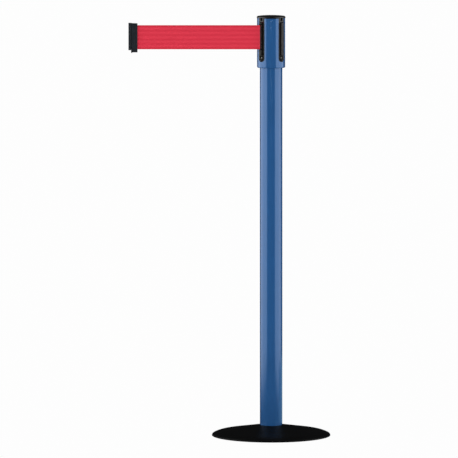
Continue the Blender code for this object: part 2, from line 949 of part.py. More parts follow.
# the inner tangent from the roll to the lip
reach = math.hypot(LIP_X, LIP_Y)
bearing = math.degrees(math.atan2(LIP_Y, LIP_X)) % 360
leave = bearing - math.degrees(math.acos((LEAVE_R + TURN_R) / reach))
lead_path = (
    arc(0, 0, LEAVE_R, leave - 40, leave, 6)
    + arc(LIP_X, LIP_Y, TURN_R, leave - 180, -90, 6)
    + [(LEAD_END_X, BELT_Y)]
)
node(
    "belt_lead",
    prism("belt_lead", ribbon(lead_path, BELT_T), BELT_Z0, BELT_Z1),
    "red_webbing",
)
node(
    "belt_roll",
    turned(
        "belt_roll",
        [
            (HUB_R + 0.5, BELT_Z0),
            (ROLL_R, BELT_Z0),
            (ROLL_R, BELT_Z1),
            (HUB_R + 0.5, BELT_Z1),
        ],
        32,
    ),
    "red_webbing",
    "spool_axis",
)

# belt end: the hem's loop sits on a pin between two halves
frame_at("belt_carriage", (CLIP_X1, BELT_Y, 902.7), "post_frame")
PIN_X = -310.6
PIN_R = 1.0
HEM_R = PIN_R + GAP + BELT_T / 2
web_path = [
    (LEAD_END_X - GAP, BELT_Y),
    (-304.2, BELT_Y),
    (-306.8, BELT_Y - 0.85),
    (PIN_X, BELT_Y - HEM_R),
]
web_path += arc(PIN_X, BELT_Y, HEM_R, 270, 90, 8)[1:]
web_path += [(-308.4, BELT_Y + HEM_R - 0.15), (-306.2, BELT_Y + 0.95)]
node(
    "belt_web",
    prism("belt_web", ribbon(web_path, BELT_T), BELT_Z0, BELT_Z1),
    "red_webbing",
    "belt_carriage",
)
node(
    "belt_end_pin",
    prism("belt_end_pin", circle(PIN_R, 12, PIN_X, BELT_Y), BELT_Z0, BELT_Z1),
    "zinc_steel",
    "belt_carriage",
)

HALF_T = 3.8
SPLIT = BELT_T / 2 + GAP
cover_half = box(
    "cover_half", (-316.2, BELT_Y - HALF_T, CLIP_Z0), (CLIP_X1, BELT_Y - SPLIT, CLIP_Z1 - 0.4)
)
cover_pocket = box(
    "cover_pocket",
    (-313.2, BELT_Y - 2.4, BELT_Z0 - 0.35),
    (-304.4, BELT_Y + 1.0, BELT_Z1 + 0.35),
)
nub = box("nub", (-316.0, BELT_Y - 3.0, CLIP_Z0 - 1.3), (-313.8, BELT_Y - 1.2, 869.0))
SCREW_ZS = (("lower", 870.4), ("upper", 930.95))
screw_bore = joined(
    "screw_bore",
    [
        (
            turned("b", [(0, -6), (1.4, -6), (1.4, 2.6), (0, 2.6)], 12),
            Matrix.Translation(Vector(mm(-309.0, BELT_Y, z)))
            @ Matrix.Rotation(math.pi / 2, 4, "X"),
        )
        for _, z in SCREW_ZS
    ],
)
node(
    "belt_end_cover",
    combine(
        cover_half,
        [
            ("UNION", nub),
            ("DIFFERENCE", cover_pocket),
            ("DIFFERENCE", screw_bore),
        ],
    ),
    "clip_plastic",
    "belt_carriage",
)
back_half = box(
    "back_half", (-316.6, BELT_Y + SPLIT, CLIP_Z0), (CLIP_X1, BELT_Y + HALF_T, CLIP_Z1 - 0.4)
)
tongue = prism(
    "tongue",
    [
        (CLIP_X0 + 0.8, BELT_Y - 4.7),
        (-317.2, BELT_Y - 4.7),
        (-317.2, BELT_Y + 1.2),
        (-315.6, BELT_Y + 1.2),
        (-315.6, BELT_Y + 3.2),
        (-317.2, BELT_Y + 3.2),
        (-317.2, BELT_Y + 4.7),
        (CLIP_X0 + 0.8, BELT_Y + 4.7),
        (CLIP_X0, BELT_Y + 3.9),
        (CLIP_X0, BELT_Y - 3.9),
    ],
    CLIP_Z0 + 5.0,
    CLIP_Z1,
)
back_pocket = box(
    "back_pocket",
    (-313.2, BELT_Y - 1.0, BELT_Z0 - 0.35),
    (-304.4, BELT_Y + 2.4, BELT_Z1 + 0.35),
)
head_bore = joined(
    "head_bore",
    [
        (
            turned(
                "b",
                [(0, -1), (1.4, -1), (1.4, 2.0), (1.85, 2.0), (1.85, 8), (0, 8)],
                12,
            ),
            Matrix.Translation(Vector(mm(-309.0, BELT_Y, z)))
            @ Matrix.Rotation(-math.pi / 2, 4, "X"),
        )
        for _, z in SCREW_ZS
    ],
)
node(
    "belt_end_body",
    combine(
        back_half,
        [
            ("UNION", tongue),
            ("DIFFERENCE", back_pocket),
            ("DIFFERENCE", head_bore),
        ],
    ),
    "clip_plastic",
    "belt_carriage",
)
for label, z in SCREW_ZS:
    node(
        "belt_end_screw_" + label,
        joined(
            "s",
            [
                (
                    turned(
                        "s",
                        [
                            (0, -2.3),
                            (1.1, -2.3),
                            (1.1, 2.3),
                            (1.55, 2.3),
                            (1.55, 3.5),
                            (0.7, 3.5),
                            (0.7, 2.9),
                            (0, 2.9),
                        ],
                        12,
                    ),
                    Matrix.Translation(Vector(mm(-309.0, BELT_Y, z)))
                    @ Matrix.Rotation(-math.pi / 2, 4, "X"),
                )
            ],
        ),
        "zinc_steel",
        "belt_carriage",
    )

# meshes that only served as tools
for me in list(bpy.data.meshes):
    if me.users == 0:
        bpy.data.meshes.remove(me)
bpy.context.view_layer.update()
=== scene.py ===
"""Looks of the retractable belt stanchion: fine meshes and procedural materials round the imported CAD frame."""

import math

import bmesh
import bpy
import numpy as np
from mathutils import Matrix, Vector

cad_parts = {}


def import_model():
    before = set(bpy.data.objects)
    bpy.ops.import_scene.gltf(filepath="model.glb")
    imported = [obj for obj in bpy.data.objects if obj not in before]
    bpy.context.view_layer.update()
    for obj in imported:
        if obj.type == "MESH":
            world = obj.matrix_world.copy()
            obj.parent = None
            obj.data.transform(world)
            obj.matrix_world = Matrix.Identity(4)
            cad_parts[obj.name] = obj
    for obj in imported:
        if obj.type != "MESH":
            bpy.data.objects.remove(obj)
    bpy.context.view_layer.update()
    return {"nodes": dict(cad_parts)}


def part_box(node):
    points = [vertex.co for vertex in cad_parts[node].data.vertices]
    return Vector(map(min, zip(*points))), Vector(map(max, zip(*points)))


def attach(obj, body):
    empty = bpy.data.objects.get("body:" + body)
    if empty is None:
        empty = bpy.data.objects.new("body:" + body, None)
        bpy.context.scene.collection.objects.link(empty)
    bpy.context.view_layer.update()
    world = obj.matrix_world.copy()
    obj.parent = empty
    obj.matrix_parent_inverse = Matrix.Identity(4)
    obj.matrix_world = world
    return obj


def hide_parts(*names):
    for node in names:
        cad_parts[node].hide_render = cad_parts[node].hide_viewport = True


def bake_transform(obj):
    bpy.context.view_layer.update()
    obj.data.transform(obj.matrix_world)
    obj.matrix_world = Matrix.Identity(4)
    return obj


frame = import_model()
NODES = frame["nodes"]

# ---------------------------------------------------------------- places, from the frame (mm)


def box_mm(node):
    lo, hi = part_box(node)
    return [v * 1000 for v in lo], [v * 1000 for v in hi]


COVER_LO, COVER_HI = box_mm("base_cover")
PAD_LO, PAD_HI = box_mm("floor_pad")
TUBE_LO, TUBE_HI = box_mm("post_tube")
SHELL_LO, SHELL_HI = box_mm("head_shell")
CAP_LO, CAP_HI = box_mm("head_cap")
LINER_LO, LINER_HI = box_mm("channel_liner_front_right")
WEB_LO, WEB_HI = box_mm("belt_web")
LEAD_LO, LEAD_HI = box_mm("belt_lead")
ROLL_LO, ROLL_HI = box_mm("belt_roll")
CLIP_LO, CLIP_HI = box_mm("belt_end_body")
FRONT_LO, FRONT_HI = box_mm("belt_end_cover")
HEM_LO, HEM_HI = box_mm("belt_end_pin")

BASE_R = 134.0
CONE_AT_AXIS, CONE_SLOPE = 28.4, 0.160
SHOULDER_R, EDGE_R, BREAK_ANGLE = 60.0, 5.0, 26.0
TUBE_R = TUBE_HI[0]
HEAD_R = SHELL_HI[0]
CAP_R = CAP_HI[0]
BELT_Y = (HEM_LO[1] + HEM_HI[1]) / 2
BELT_Z0, BELT_Z1 = WEB_LO[2], WEB_HI[2]
BELT_T = 0.5
CHANNELS = {
    "front_left": 226.5,
    "front_right": 316.5,
    "back_right": 46.5,
    "back_left": 136.5,
}
LINER_Z0, LINER_Z1 = LINER_LO[2], LINER_HI[2]


def mm(*v):
    return tuple(x * 0.001 for x in v)


# ---------------------------------------------------------------- mesh helpers
def mesh_from(bm, name, weld=1e-7):
    bmesh.ops.remove_doubles(bm, verts=bm.verts, dist=weld)
    bmesh.ops.recalc_face_normals(bm, faces=bm.faces)
    me = bpy.data.meshes.new(name)
    bm.to_mesh(me)
    bm.free()
    return me


def soften(points, closed, n=4):
    """Round a profile's corners. A point is (r, z) or (r, z, size of the rounding)."""
    out = []
    last = len(points) - 1
    for k, p in enumerate(points):
        size = p[2] if len(p) > 2 else 0
        if not size or (not closed and k in (0, last)):
            out.append((p[0], p[1]))
            continue
        a, b = points[k - 1], points[(k + 1) % len(points)]
        va = Vector((a[0] - p[0], a[1] - p[1]))
        vb = Vector((b[0] - p[0], b[1] - p[1]))
        c = Vector((p[0], p[1]))
        s = c + va.normalized() * min(size, va.length * 0.48)
        e = c + vb.normalized() * min(size, vb.length * 0.48)
        for i in range(n + 1):
            t = i / n
            q = s * (1 - t) ** 2 + c * (2 * t * (1 - t)) + e * t * t
            out.append((q.x, q.y))
    return out


def turned(name, profile, seg=96, n=4):
    """A solid of revolution: profile (r, z[, rounding]) in mm, closed, or open from axis to axis."""
    touches = profile[0][0] == 0 and profile[-1][0] == 0
    pts = soften(profile, not touches, n)
    bm = bmesh.new()
    rings = []
    for r, z in pts:
        if r == 0:
            rings.append([bm.verts.new(mm(0, 0, z))])
        else:
            rings.append(
                [
                    bm.verts.new(
                        mm(
                            r * math.cos(2 * math.pi * k / seg),
                            r * math.sin(2 * math.pi * k / seg),
                            z,
                        )
                    )
                    for k in range(seg)
                ]
            )
    pairs = list(zip(rings, rings[1:]))
    if not touches:
        pairs.append((rings[-1], rings[0]))
    for a, b in pairs:
        for k in range(seg):
            j = (k + 1) % seg
            if len(a) == 1 and len(b) == 1:
                continue
            if len(a) == 1:
                bm.faces.new((a[0], b[k], b[j]))
            elif len(b) == 1:
                bm.faces.new((a[k], a[j], b[0]))
            else:
                bm.faces.new((a[k], a[j], b[j], b[k]))
    return mesh_from(bm, name)


def extruded(name, outline, axis, lo, hi):
    """An outline extruded along an axis. For z the outline is in XY, for x in YZ, for y in XZ."""

    def place(a, b, c):
        return {"z": mm(a, b, c), "x": mm(c, a, b), "y": mm(a, c, b)}[axis]

    bm = bmesh.new()
    f = bm.faces.new([bm.verts.new(place(a, b, lo)) for a, b in outline])
    out = bmesh.ops.extrude_face_region(bm, geom=[f])
    top = [g for g in out["geom"] if isinstance(g, bmesh.types.BMVert)]
    d = {"z": (0, 0, hi - lo), "x": (hi - lo, 0, 0), "y": (0, hi - lo, 0)}[axis]
    bmesh.ops.translate(bm, verts=top, vec=mm(*d))
    return mesh_from(bm, name)


def circle(r, n, cx=0.0, cy=0.0, start=0.0):
    return [
        (
            cx + r * math.cos(start + 2 * math.pi * k / n),
            cy + r * math.sin(start + 2 * math.pi * k / n),
        )
        for k in range(n)
    ]


def arc(cx, cy, r, a0, a1, n):
    return [
        (
            cx + r * math.cos(math.radians(a0 + (a1 - a0) * k / n)),
            cy + r * math.sin(math.radians(a0 + (a1 - a0) * k / n)),
        )
        for k in range(n + 1)
    ]


def upright(half, z0, z1, corner, n=10):
    """Outline in YZ with two rounded lower corners."""
    low = arc(half - corner, z0 + corner, corner, 0, -90, n)
    return [(half, z1)] + low + [(-y, z) for y, z in low[::-1]] + [(-half, z1)]


def box_outline(y0, z0, y1, z1):
    return [(y0, z0), (y1, z0), (y1, z1), (y0, z1)]


def joined(name, parts):
    bm = bmesh.new()
    for me, matrix in parts:
        start = len(bm.verts)
        bm.from_mesh(me)
        bm.verts.ensure_lookup_table()
        bmesh.ops.transform(bm, matrix=matrix, verts=bm.verts[start:])
    out = bpy.data.meshes.new(name)
    bm.to_mesh(out)
    bm.free()
    return out


def evaluated(ob, name):
    bpy.context.view_layer.update()
    me = bpy.data.meshes.new_from_object(
        ob.evaluated_get(bpy.context.evaluated_depsgraph_get())
    )
    me.name = name
    return me


def in_order(bm):
    """Puts verts, edges and faces in one fixed order, whatever order the cuts left them in."""

    def ranked(seq, key):
        seq.ensure_lookup_table()
        seq.index_update()
        keys = [key(el) for el in seq]
        rank = {i: r for r, i in enumerate(sorted(range(len(keys)), key=keys.__getitem__))}
        seq.sort(key=lambda el: rank[el.index])
        seq.index_update()

    ranked(bm.verts, lambda v: tuple(round(c * 1e7) for c in v.co))
    ranked(bm.edges, lambda e: sorted(v.index for v in e.verts))
    ranked(bm.faces, lambda f: sorted(v.index for v in f.verts))


def worked(base, booleans=(), bevel=0.0, segments=2, angle=28, ordered=False):
    """Booleans, then a bevel on the sharp edges, as one finished mesh."""
    ob = bpy.data.objects.new("work", base)
    bpy.context.scene.collection.objects.link(ob)
    tools = []
    for n, (operation, me) in enumerate(booleans):
        tool = bpy.data.objects.new(f"work_tool_{n}", me)
        bpy.context.scene.collection.objects.link(tool)
        m = ob.modifiers.new(f"b{n}", "BOOLEAN")
        m.operation, m.solver, m.object = operation, "EXACT", tool
        tools.append(tool)
    if booleans:
        me = evaluated(ob, "cut")
        ob.modifiers.clear()
        bm = bmesh.new()
        bm.from_mesh(me)
        if ordered:
            in_order(bm)
        bmesh.ops.remove_doubles(bm, verts=bm.verts, dist=4e-6)
        bmesh.ops.dissolve_limit(
            bm,
            angle_limit=math.radians(0.6),
            verts=bm.verts,
            edges=bm.edges,
        )
        if ordered:
            in_order(bm)
        bm.to_mesh(me)
        bm.free()
        ob.data = me
    if bevel:
        m = ob.modifiers.new("bevel", "BEVEL")
        m.width, m.segments = bevel * 0.001, segments
        m.limit_method, m.angle_limit = "ANGLE", math.radians(angle)
        m.use_clamp_overlap = True
        m.harden_normals = False
    me = evaluated(ob, base.name)
    for t in tools:
        bpy.data.objects.remove(t, do_unlink=True)
    bpy.data.objects.remove(ob, do_unlink=True)
    return me


def turn_z(degrees):
    return Matrix.Rotation(math.radians(degrees), 4, "Z")


def shift(x=0, y=0, z=0):
    return Matrix.Translation(Vector(mm(x, y, z)))


def world(u, t, angle=226.5):
    """A point in a channel's axes (out of its mouth, across it), in world XY."""
    a = math.radians(angle)
    return (u * math.cos(a) + t * math.sin(a), u * math.sin(a) - t * math.cos(a))


# ---------------------------------------------------------------- materials
class Shader:
    """A small builder for one procedural material."""

    def __init__(self, name):
        self.mat = bpy.data.materials.new(name)
        self.mat.use_nodes = True
        self.nt = self.mat.node_tree
        self.bsdf = self.nt.nodes["Principled BSDF"]
        self.coords = self.nt.nodes.new("ShaderNodeTexCoord")

    def set(self, **values):
        for key, v in values.items():
            socket = self.bsdf.inputs[key.replace("_", " ")]
            if isinstance(v, (tuple, list)) and len(v) == 3:
                v = (*v, 1.0)
            socket.default_value = v
        return self

    def link(self, a, b):
        self.nt.links.new(a, b)

    def mapping(self, scale=(1, 1, 1), rotation=(0, 0, 0), source="Object"):
        m = self.nt.nodes.new("ShaderNodeMapping")
        m.inputs["Scale"].default_value = scale
        m.inputs["Rotation"].default_value = rotation
        self.link(self.coords.outputs[source], m.inputs["Vector"])
        return m.outputs["Vector"]

    def noise(self, scale, detail=3.0, rough=0.5, vector=None, distortion=0.0):
        n = self.nt.nodes.new("ShaderNodeTexNoise")
        n.inputs["Scale"].default_value = scale
        n.inputs["Detail"].default_value = detail
        n.inputs["Roughness"].default_value = rough
        n.inputs["Distortion"].default_value = distortion
        self.link(vector or self.coords.outputs["Object"], n.inputs["Vector"])
        return n.outputs["Fac"]

    def voronoi(self, scale, vector=None, feature="F1"):
        n = self.nt.nodes.new("ShaderNodeTexVoronoi")
        n.feature = feature
        n.inputs["Scale"].default_value = scale
        self.link(vector or self.coords.outputs["Object"], n.inputs["Vector"])
        return n.outputs["Distance"]

    def ramp(self, source, stops, interpolation="LINEAR"):
        r = self.nt.nodes.new("ShaderNodeValToRGB")
        r.color_ramp.interpolation = interpolation
        while len(r.color_ramp.elements) < len(stops):
            r.color_ramp.elements.new(0.5)
        for e, (at, colour) in zip(r.color_ramp.elements, stops):
            e.position = at
            if not isinstance(colour, (tuple, list)):
                colour = (colour,) * 3
            e.color = (*colour, 1.0)
        self.link(source, r.inputs["Fac"])
        return r.outputs["Color"]

    def math(self, operation, a, b=None, c=None):
        n = self.nt.nodes.new("ShaderNodeMath")
        n.operation = operation
        for k, v in enumerate((a, b, c)):
            if v is None:
                continue
            if isinstance(v, (int, float)):
                n.inputs[k].default_value = v
            else:
                self.link(v, n.inputs[k])
        return n.outputs[0]

    def mix(self, factor, a, b, blend="MIX"):
        n = self.nt.nodes.new("ShaderNodeMix")
        n.data_type = "RGBA"
        n.blend_type = blend
        for key, v in ((0, factor), (6, a), (7, b)):
            if isinstance(v, (int, float)):
                n.inputs[key].default_value = v
            elif isinstance(v, (tuple, list)):
                n.inputs[key].default_value = (*v, 1.0) if len(v) == 3 else v
            else:
                self.link(v, n.inputs[key])
        return n.outputs[2]

    def separate(self, vector):
        n = self.nt.nodes.new("ShaderNodeSeparateXYZ")
        self.link(vector, n.inputs[0])
        return n.outputs

    def combine(self, x, y, z):
        n = self.nt.nodes.new("ShaderNodeCombineXYZ")
        for k, v in enumerate((x, y, z)):
            if isinstance(v, (int, float)):
                n.inputs[k].default_value = v
            else:
                self.link(v, n.inputs[k])
        return n.outputs[0]

    def colour(self, source):
        self.link(source, self.bsdf.inputs["Base Color"])
        return self

    def rough(self, source):
        self.link(source, self.bsdf.inputs["Roughness"])
        return self

    def bump(self, height, strength, distance, chain=True):
        n = self.nt.nodes.new("ShaderNodeBump")
        n.inputs["Strength"].default_value = strength
        n.inputs["Distance"].default_value = distance
        self.link(height, n.inputs["Height"])
        if chain and self.bsdf.inputs["Normal"].is_linked:
            self.link(
                self.bsdf.inputs["Normal"].links[0].from_socket, n.inputs["Normal"]
            )
        self.link(n.outputs["Normal"], self.bsdf.inputs["Normal"])
        return self


def powder_coat(name, colour, rough):
    s = Shader(name).set(Metallic=0.0, IOR=1.5, Coat_Weight=0.0)
    s.set(Specular_Tint=(0.95, 1.28, 1.80))
    drift = s.noise(9.0, 4.0, 0.55)
    fleck = s.noise(1400.0, 2.0, 0.6)
    low = tuple(c * 0.93 for c in colour)
    high = tuple(min(c * 1.07, 1) for c in colour)
    base = s.ramp(drift, [(0.3, low), (0.7, high)])
    base = s.mix(s.math("MULTIPLY", fleck, 0.10), base, tuple(c * 1.5 for c in colour))
    s.colour(base)
    peel = s.noise(420.0, 2.0, 0.45)
    fine = s.noise(1500.0, 2.0, 0.5)
    handling = s.noise(26.0, 5.0, 0.65)
    r = s.ramp(handling, [(0.35, rough * 0.86), (0.62, rough), (0.8, rough * 1.35)])
    s.rough(r)
    s.bump(peel, 0.10, 0.00012)
    s.bump(fine, 0.05, 0.00004)
    return s.mat


def enamel(name, colour, rough):
    s = Shader(name).set(Metallic=0.0, IOR=1.10, Coat_Weight=0.0)
    drift = s.noise(14.0, 5.0, 0.6)
    s.colour(
        s.ramp(
            drift,
            [(0.3, tuple(c * 0.8 for c in colour)), (0.75, tuple(c * 1.3 for c in colour))],
        )
    )
    # faint scuffs that run round the dome
    p = s.separate(s.coords.outputs["Object"])
    radius = s.math(
        "SQRT",
        s.math("ADD", s.math("MULTIPLY", p[0], p[0]), s.math("MULTIPLY", p[1], p[1])),
    )
    rings = s.noise(1.0, 3.0, 0.6, s.combine(s.math("MULTIPLY", radius, 900.0), 0.0, 0.0))
    dust = s.noise(260.0, 4.0, 0.7)
    r = s.ramp(
        s.math("ADD", s.math("MULTIPLY", rings, 0.5), s.math("MULTIPLY", dust, 0.5)),
        [(0.3, rough * 0.8), (0.6, rough), (0.8, rough * 1.5)],
    )
    s.rough(r)
    s.bump(s.noise(520.0, 2.0, 0.5), 0.10, 0.00010)
    return s.mat


def moulding(name, colour, rough, grain=1.0, shine=0.5, shade_radii=None):
    """Injection-moulded plastic with a spark-eroded grain.

    shade radii (the last argument), in metres: between them a channel's side walls are painted paler towards its mouth
    as painted light, and the back and the rim are painted near black as painted shade.
    """
    s = Shader(name).set(Metallic=0.0, IOR=1.47, Specular_IOR_Level=shine)
    drift = s.noise(60.0, 3.0, 0.6)
    base = s.ramp(
        drift,
        [(0.3, tuple(c * 0.85 for c in colour)), (0.7, tuple(c * 1.15 for c in colour))],
    )
    if shade_radii:
        p = s.separate(s.coords.outputs["Object"])
        radius = s.math(
            "SQRT",
            s.math("ADD", s.math("MULTIPLY", p[0], p[0]), s.math("MULTIPLY", p[1], p[1])),
        )
        # how far a face looks outwards: the back and the rim do, and get painted shade; the side walls don't, and get
        # painted light
        shape = s.nt.nodes.new("ShaderNodeNewGeometry")
        facing = s.separate(shape.outputs["True Normal"])
        outward = s.math(
            "DIVIDE",
            s.math(
                "ADD", s.math("MULTIPLY", facing[0], p[0]), s.math("MULTIPLY", facing[1], p[1])
            ),
            radius,
        )
        lit_wall_mask = s.ramp(s.math("ABSOLUTE", outward), [(0.36, 1.0), (0.62, 0.0)])
        n = s.nt.nodes.new("ShaderNodeMapRange")
        n.inputs["From Min"].default_value, n.inputs["From Max"].default_value = shade_radii
        n.inputs["To Min"].default_value = 0.55
        s.link(radius, n.inputs["Value"])
        lit_wall_mask = s.math("MULTIPLY", lit_wall_mask, n.outputs["Result"])
        # painted shade: near black on the back and the rim, the side walls paler towards the mouth; their reflections
        # are dimmed the same way
        base = s.mix(lit_wall_mask, tuple(c * 0.06 for c in colour), base)
        s.link(
            s.math("MULTIPLY_ADD", lit_wall_mask, shine, 0.03), s.bsdf.inputs["Specular IOR Level"]
        )
    s.colour(base)
    cells = s.voronoi(1900.0)
    fine = s.noise(2600.0, 2.0, 0.6)
    height = s.math("ADD", s.math("MULTIPLY", cells, 0.6), s.math("MULTIPLY", fine, 0.5))
    r = s.ramp(
        s.noise(180.0, 4.0, 0.7), [(0.3, rough * 0.85), (0.65, rough), (0.85, rough * 1.2)]
    )
    s.rough(r)
    s.bump(height, 0.22 * grain, 0.00006)
    return s.mat


def rubber(name):
    s = Shader(name).set(Metallic=0.0, IOR=1.45)
    s.colour(s.ramp(s.noise(90.0, 5.0, 0.7), [(0.3, 0.006), (0.7, 0.016)]))
    s.rough(s.ramp(s.noise(300.0, 3.0, 0.6), [(0.3, 0.72), (0.7, 0.92)]))
    s.bump(s.noise(1200.0, 3.0, 0.6), 0.35, 0.00012)
    return s.mat


def plated(name, colour, rough, brushed=(1, 1, 1)):
    """Zinc-plated or blued steel with fine machining marks."""
    s = Shader(name).set(Metallic=1.0)
    v = s.mapping(brushed)
    marks = s.noise(700.0, 3.0, 0.6, v)
    patches = s.voronoi(260.0)
    tint = s.ramp(
        patches,
        [(0.1, tuple(c * 0.86 for c in colour)), (0.6, tuple(min(c * 1.1, 1) for c in colour))],
    )
    s.colour(tint)
    s.rough(s.ramp(marks, [(0.3, rough * 0.7), (0.7, rough * 1.3)]))
    s.bump(marks, 0.12, 0.00005)
    return s.mat


def cast_iron(name):
    s = Shader(name).set(Metallic=0.55)
    s.colour(
        s.ramp(
            s.noise(70.0, 6.0, 0.7),
            [(0.3, (0.030, 0.029, 0.028)), (0.6, (0.062, 0.060, 0.058)), (0.85, (0.11, 0.075, 0.05))],
        )
    )
    s.rough(s.ramp(s.noise(400.0, 3.0, 0.6), [(0.3, 0.6), (0.7, 0.85)]))
    s.bump(s.noise(650.0, 5.0, 0.65), 0.6, 0.0004)
    return s.mat


def acetal(name):
    s = Shader(name).set(Metallic=0.0, IOR=1.48, Subsurface_Weight=0.08)
    s.bsdf.inputs["Subsurface Radius"].default_value = (0.002, 0.002, 0.0015)
    s.colour(
        s.ramp(s.noise(120.0, 3.0, 0.5), [(0.3, (0.66, 0.645, 0.60)), (0.7, (0.74, 0.73, 0.69))])
    )
    s.rough(s.ramp(s.noise(500.0, 3.0, 0.5), [(0.3, 0.34), (0.7, 0.5)]))
    s.bump(s.noise(900.0, 2.0, 0.5), 0.08, 0.00005)
    return s.mat


def lining(name):
    s = Shader(name).set(Metallic=0.0)
    s.colour(
        s.ramp(
            s.voronoi(1500.0),
            [(0.1, (0.05, 0.036, 0.028)), (0.45, (0.10, 0.075, 0.058)), (0.8, (0.22, 0.17, 0.10))],
        )
    )
    s.rough(s.ramp(s.noise(300.0), [(0.3, 0.8), (0.7, 0.95)]))
    s.bump(s.noise(1100.0, 4.0, 0.7), 0.5, 0.0002)
    return s.mat


def webbing(name):
    """Ribbed polyester webbing: warp cords along the belt in flat ribs, a fine weft across."""
    s = Shader(name).set(Metallic=0.0, IOR=1.45, Specular_IOR_Level=0.28)
    s.set(Sheen_Weight=0.12, Sheen_Roughness=0.4)
    p = s.separate(s.coords.outputs["Object"])
    # distance along the belt, which runs back into the head after its bend
    along = s.math("SUBTRACT", s.math("MULTIPLY", p[0], -1.0), p[1])
    height = p[2]
    mid = (BELT_Z0 + BELT_Z1) / 2000
    half = (BELT_Z1 - BELT_Z0) / 2000
    across = s.math("DIVIDE", s.math("SUBTRACT", height, mid), half)  # -1 to 1
    edge = s.math("ABSOLUTE", across)
    # five broad ribs, painted lighter on their crests and darker in their hollows: painted shading of the ribs
    ribs = s.math("COSINE", s.math("MULTIPLY", s.math("SUBTRACT", height, mid), 2 * math.pi / 0.00985))
    ribs = s.math("MULTIPLY_ADD", ribs, 0.5, 0.5)
    # warp cords 0.62 mm apart, weft 0.48 mm apart, each second one shifted: a plain weave
    warp = s.math("SINE", s.math("MULTIPLY", height, 2 * math.pi / 0.00062))
    weft = s.math("SINE", s.math("MULTIPLY", along, 2 * math.pi / 0.00096))
    weave = s.math("MULTIPLY", warp, weft)
    cords = s.math("ABSOLUTE", s.math("SINE", s.math("MULTIPLY", height, math.pi / 0.00062)))
    # slubs: long faint streaks along the belt
    streak = s.noise(
        1.0, 4.0, 0.6, s.combine(s.math("MULTIPLY", along, 18.0), 0.0, s.math("MULTIPLY", height, 1500.0))
    )
    cloud = s.noise(
        1.0, 3.0, 0.5, s.combine(s.math("MULTIPLY", along, 30.0), 0.0, s.math("MULTIPLY", height, 90.0))
    )
    # painted light and shade: lit rib crests and shaded rib hollows of one red
    light = (0.520, 0.0260, 0.0500)
    dark = (0.440, 0.0150, 0.0350)
    hem = (0.420, 0.0090, 0.0250)
    c = s.mix(ribs, dark, light)
    c = s.mix(s.math("MULTIPLY", streak, 0.30), c, (0.38, 0.0110, 0.0270))
    c = s.mix(s.math("MULTIPLY", cloud, 0.20), c, (0.58, 0.036, 0.062))
    tiny = s.math("MULTIPLY", s.math("MULTIPLY_ADD", weave, 0.5, 0.5), 0.16)
    c = s.mix(tiny, c, (0.32, 0.009, 0.021))
    hem_mask = s.ramp(edge, [(0.86, 0.0), (0.93, 1.0)])
    c = s.mix(hem_mask, c, hem)
    # painted highlight: a bright strip where the belt bends round the lip into the head
    bend_highlight = s.nt.nodes.new("ShaderNodeMapRange")
    bend_highlight.inputs["From Min"].default_value, bend_highlight.inputs["From Max"].default_value = -0.0285, -0.0245
    bend_highlight.inputs["To Max"].default_value = 0.65
    s.link(p[0], bend_highlight.inputs["Value"])
    c = s.mix(bend_highlight.outputs["Result"], c, (0.86, 0.055, 0.105))
    # inside the head no light reaches the webbing
    inside = s.nt.nodes.new("ShaderNodeMapRange")
    inside.inputs["From Min"].default_value = (BELT_Y + 0.45) / 1000
    inside.inputs["From Max"].default_value = (BELT_Y + 1.5) / 1000
    inside.inputs["To Max"].default_value = 0.92
    s.link(p[1], inside.inputs["Value"])
    near = s.nt.nodes.new("ShaderNodeMapRange")
    near.inputs["From Min"].default_value, near.inputs["From Max"].default_value = -0.0300, -0.0285
    s.link(p[0], near.inputs["Value"])
    shade = s.math("MULTIPLY", inside.outputs["Result"], near.outputs["Result"])
    c = s.mix(shade, c, (0.030, 0.002, 0.004))
    s.colour(c)
    s.rough(s.ramp(streak, [(0.3, 0.62), (0.7, 0.80)]))
    h = s.math("ADD", s.math("MULTIPLY", cords, 0.55), s.math("MULTIPLY", weave, 0.35))
    s.bump(h, 0.45, 0.00010)
    return s.mat


M = {
    "blue": powder_coat("blue_powder_coat", (0.0128, 0.0600, 0.1680), 0.16),
    "cover": enamel("black_enamel", (0.0028, 0.0028, 0.0030), 0.46),
    "plastic": moulding("black_moulding", (0.020, 0.0200, 0.0195), 0.42),
    "liner": moulding("liner_moulding", (0.108, 0.106, 0.104), 0.55, 0.8, 0.22, (0.0260, 0.0320)),
    "cap": moulding("cap_moulding", (0.0050, 0.0050, 0.0052), 0.34, 0.6, 0.4),
    "clip": moulding("clip_moulding", (0.0085, 0.0110, 0.0140), 0.55, 1.0, 0.2),
    "rubber": rubber("pad_rubber"),
    "iron": cast_iron("cast_iron"),
    "zinc": plated("zinc_plate", (0.56, 0.57, 0.58), 0.30),
    "screw": plated("dark_screw", (0.16, 0.155, 0.145), 0.38),
    "spring": plated("blued_spring", (0.17, 0.19, 0.25), 0.28, (0.05, 0.05, 4)),
    "acetal": acetal("natural_acetal"),
    "lining": lining("brake_lining"),
    "web": webbing("red_webbing"),
}


def piece(name, me, mat, body, replaced=(), smooth=34):
    me.name = name
    me.materials.clear()
    me.materials.append(M[mat])
    me.shade_smooth()
    me.set_sharp_from_angle(angle=math.radians(smooth))
    ob = bpy.data.objects.new(name, me)
    bpy.context.scene.collection.objects.link(ob)
    if body:
        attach(ob, body)
    if replaced:
        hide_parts(*replaced)
    return ob


# ================================================================ base
def cone(r):
    return CONE_AT_AXIS - CONE_SLOPE * r


tilt = math.degrees(math.atan(CONE_SLOPE))
edge_at = BASE_R - EDGE_R
wide_at = edge_at - (SHOULDER_R - EDGE_R) * math.sin(math.radians(BREAK_ANGLE))
tangent = wide_at + SHOULDER_R * math.sin(math.radians(tilt))
wide_z = cone(tangent) - SHOULDER_R * math.cos(math.radians(tilt))
tight_z = wide_z + (SHOULDER_R - EDGE_R) * math.cos(math.radians(BREAK_ANGLE))


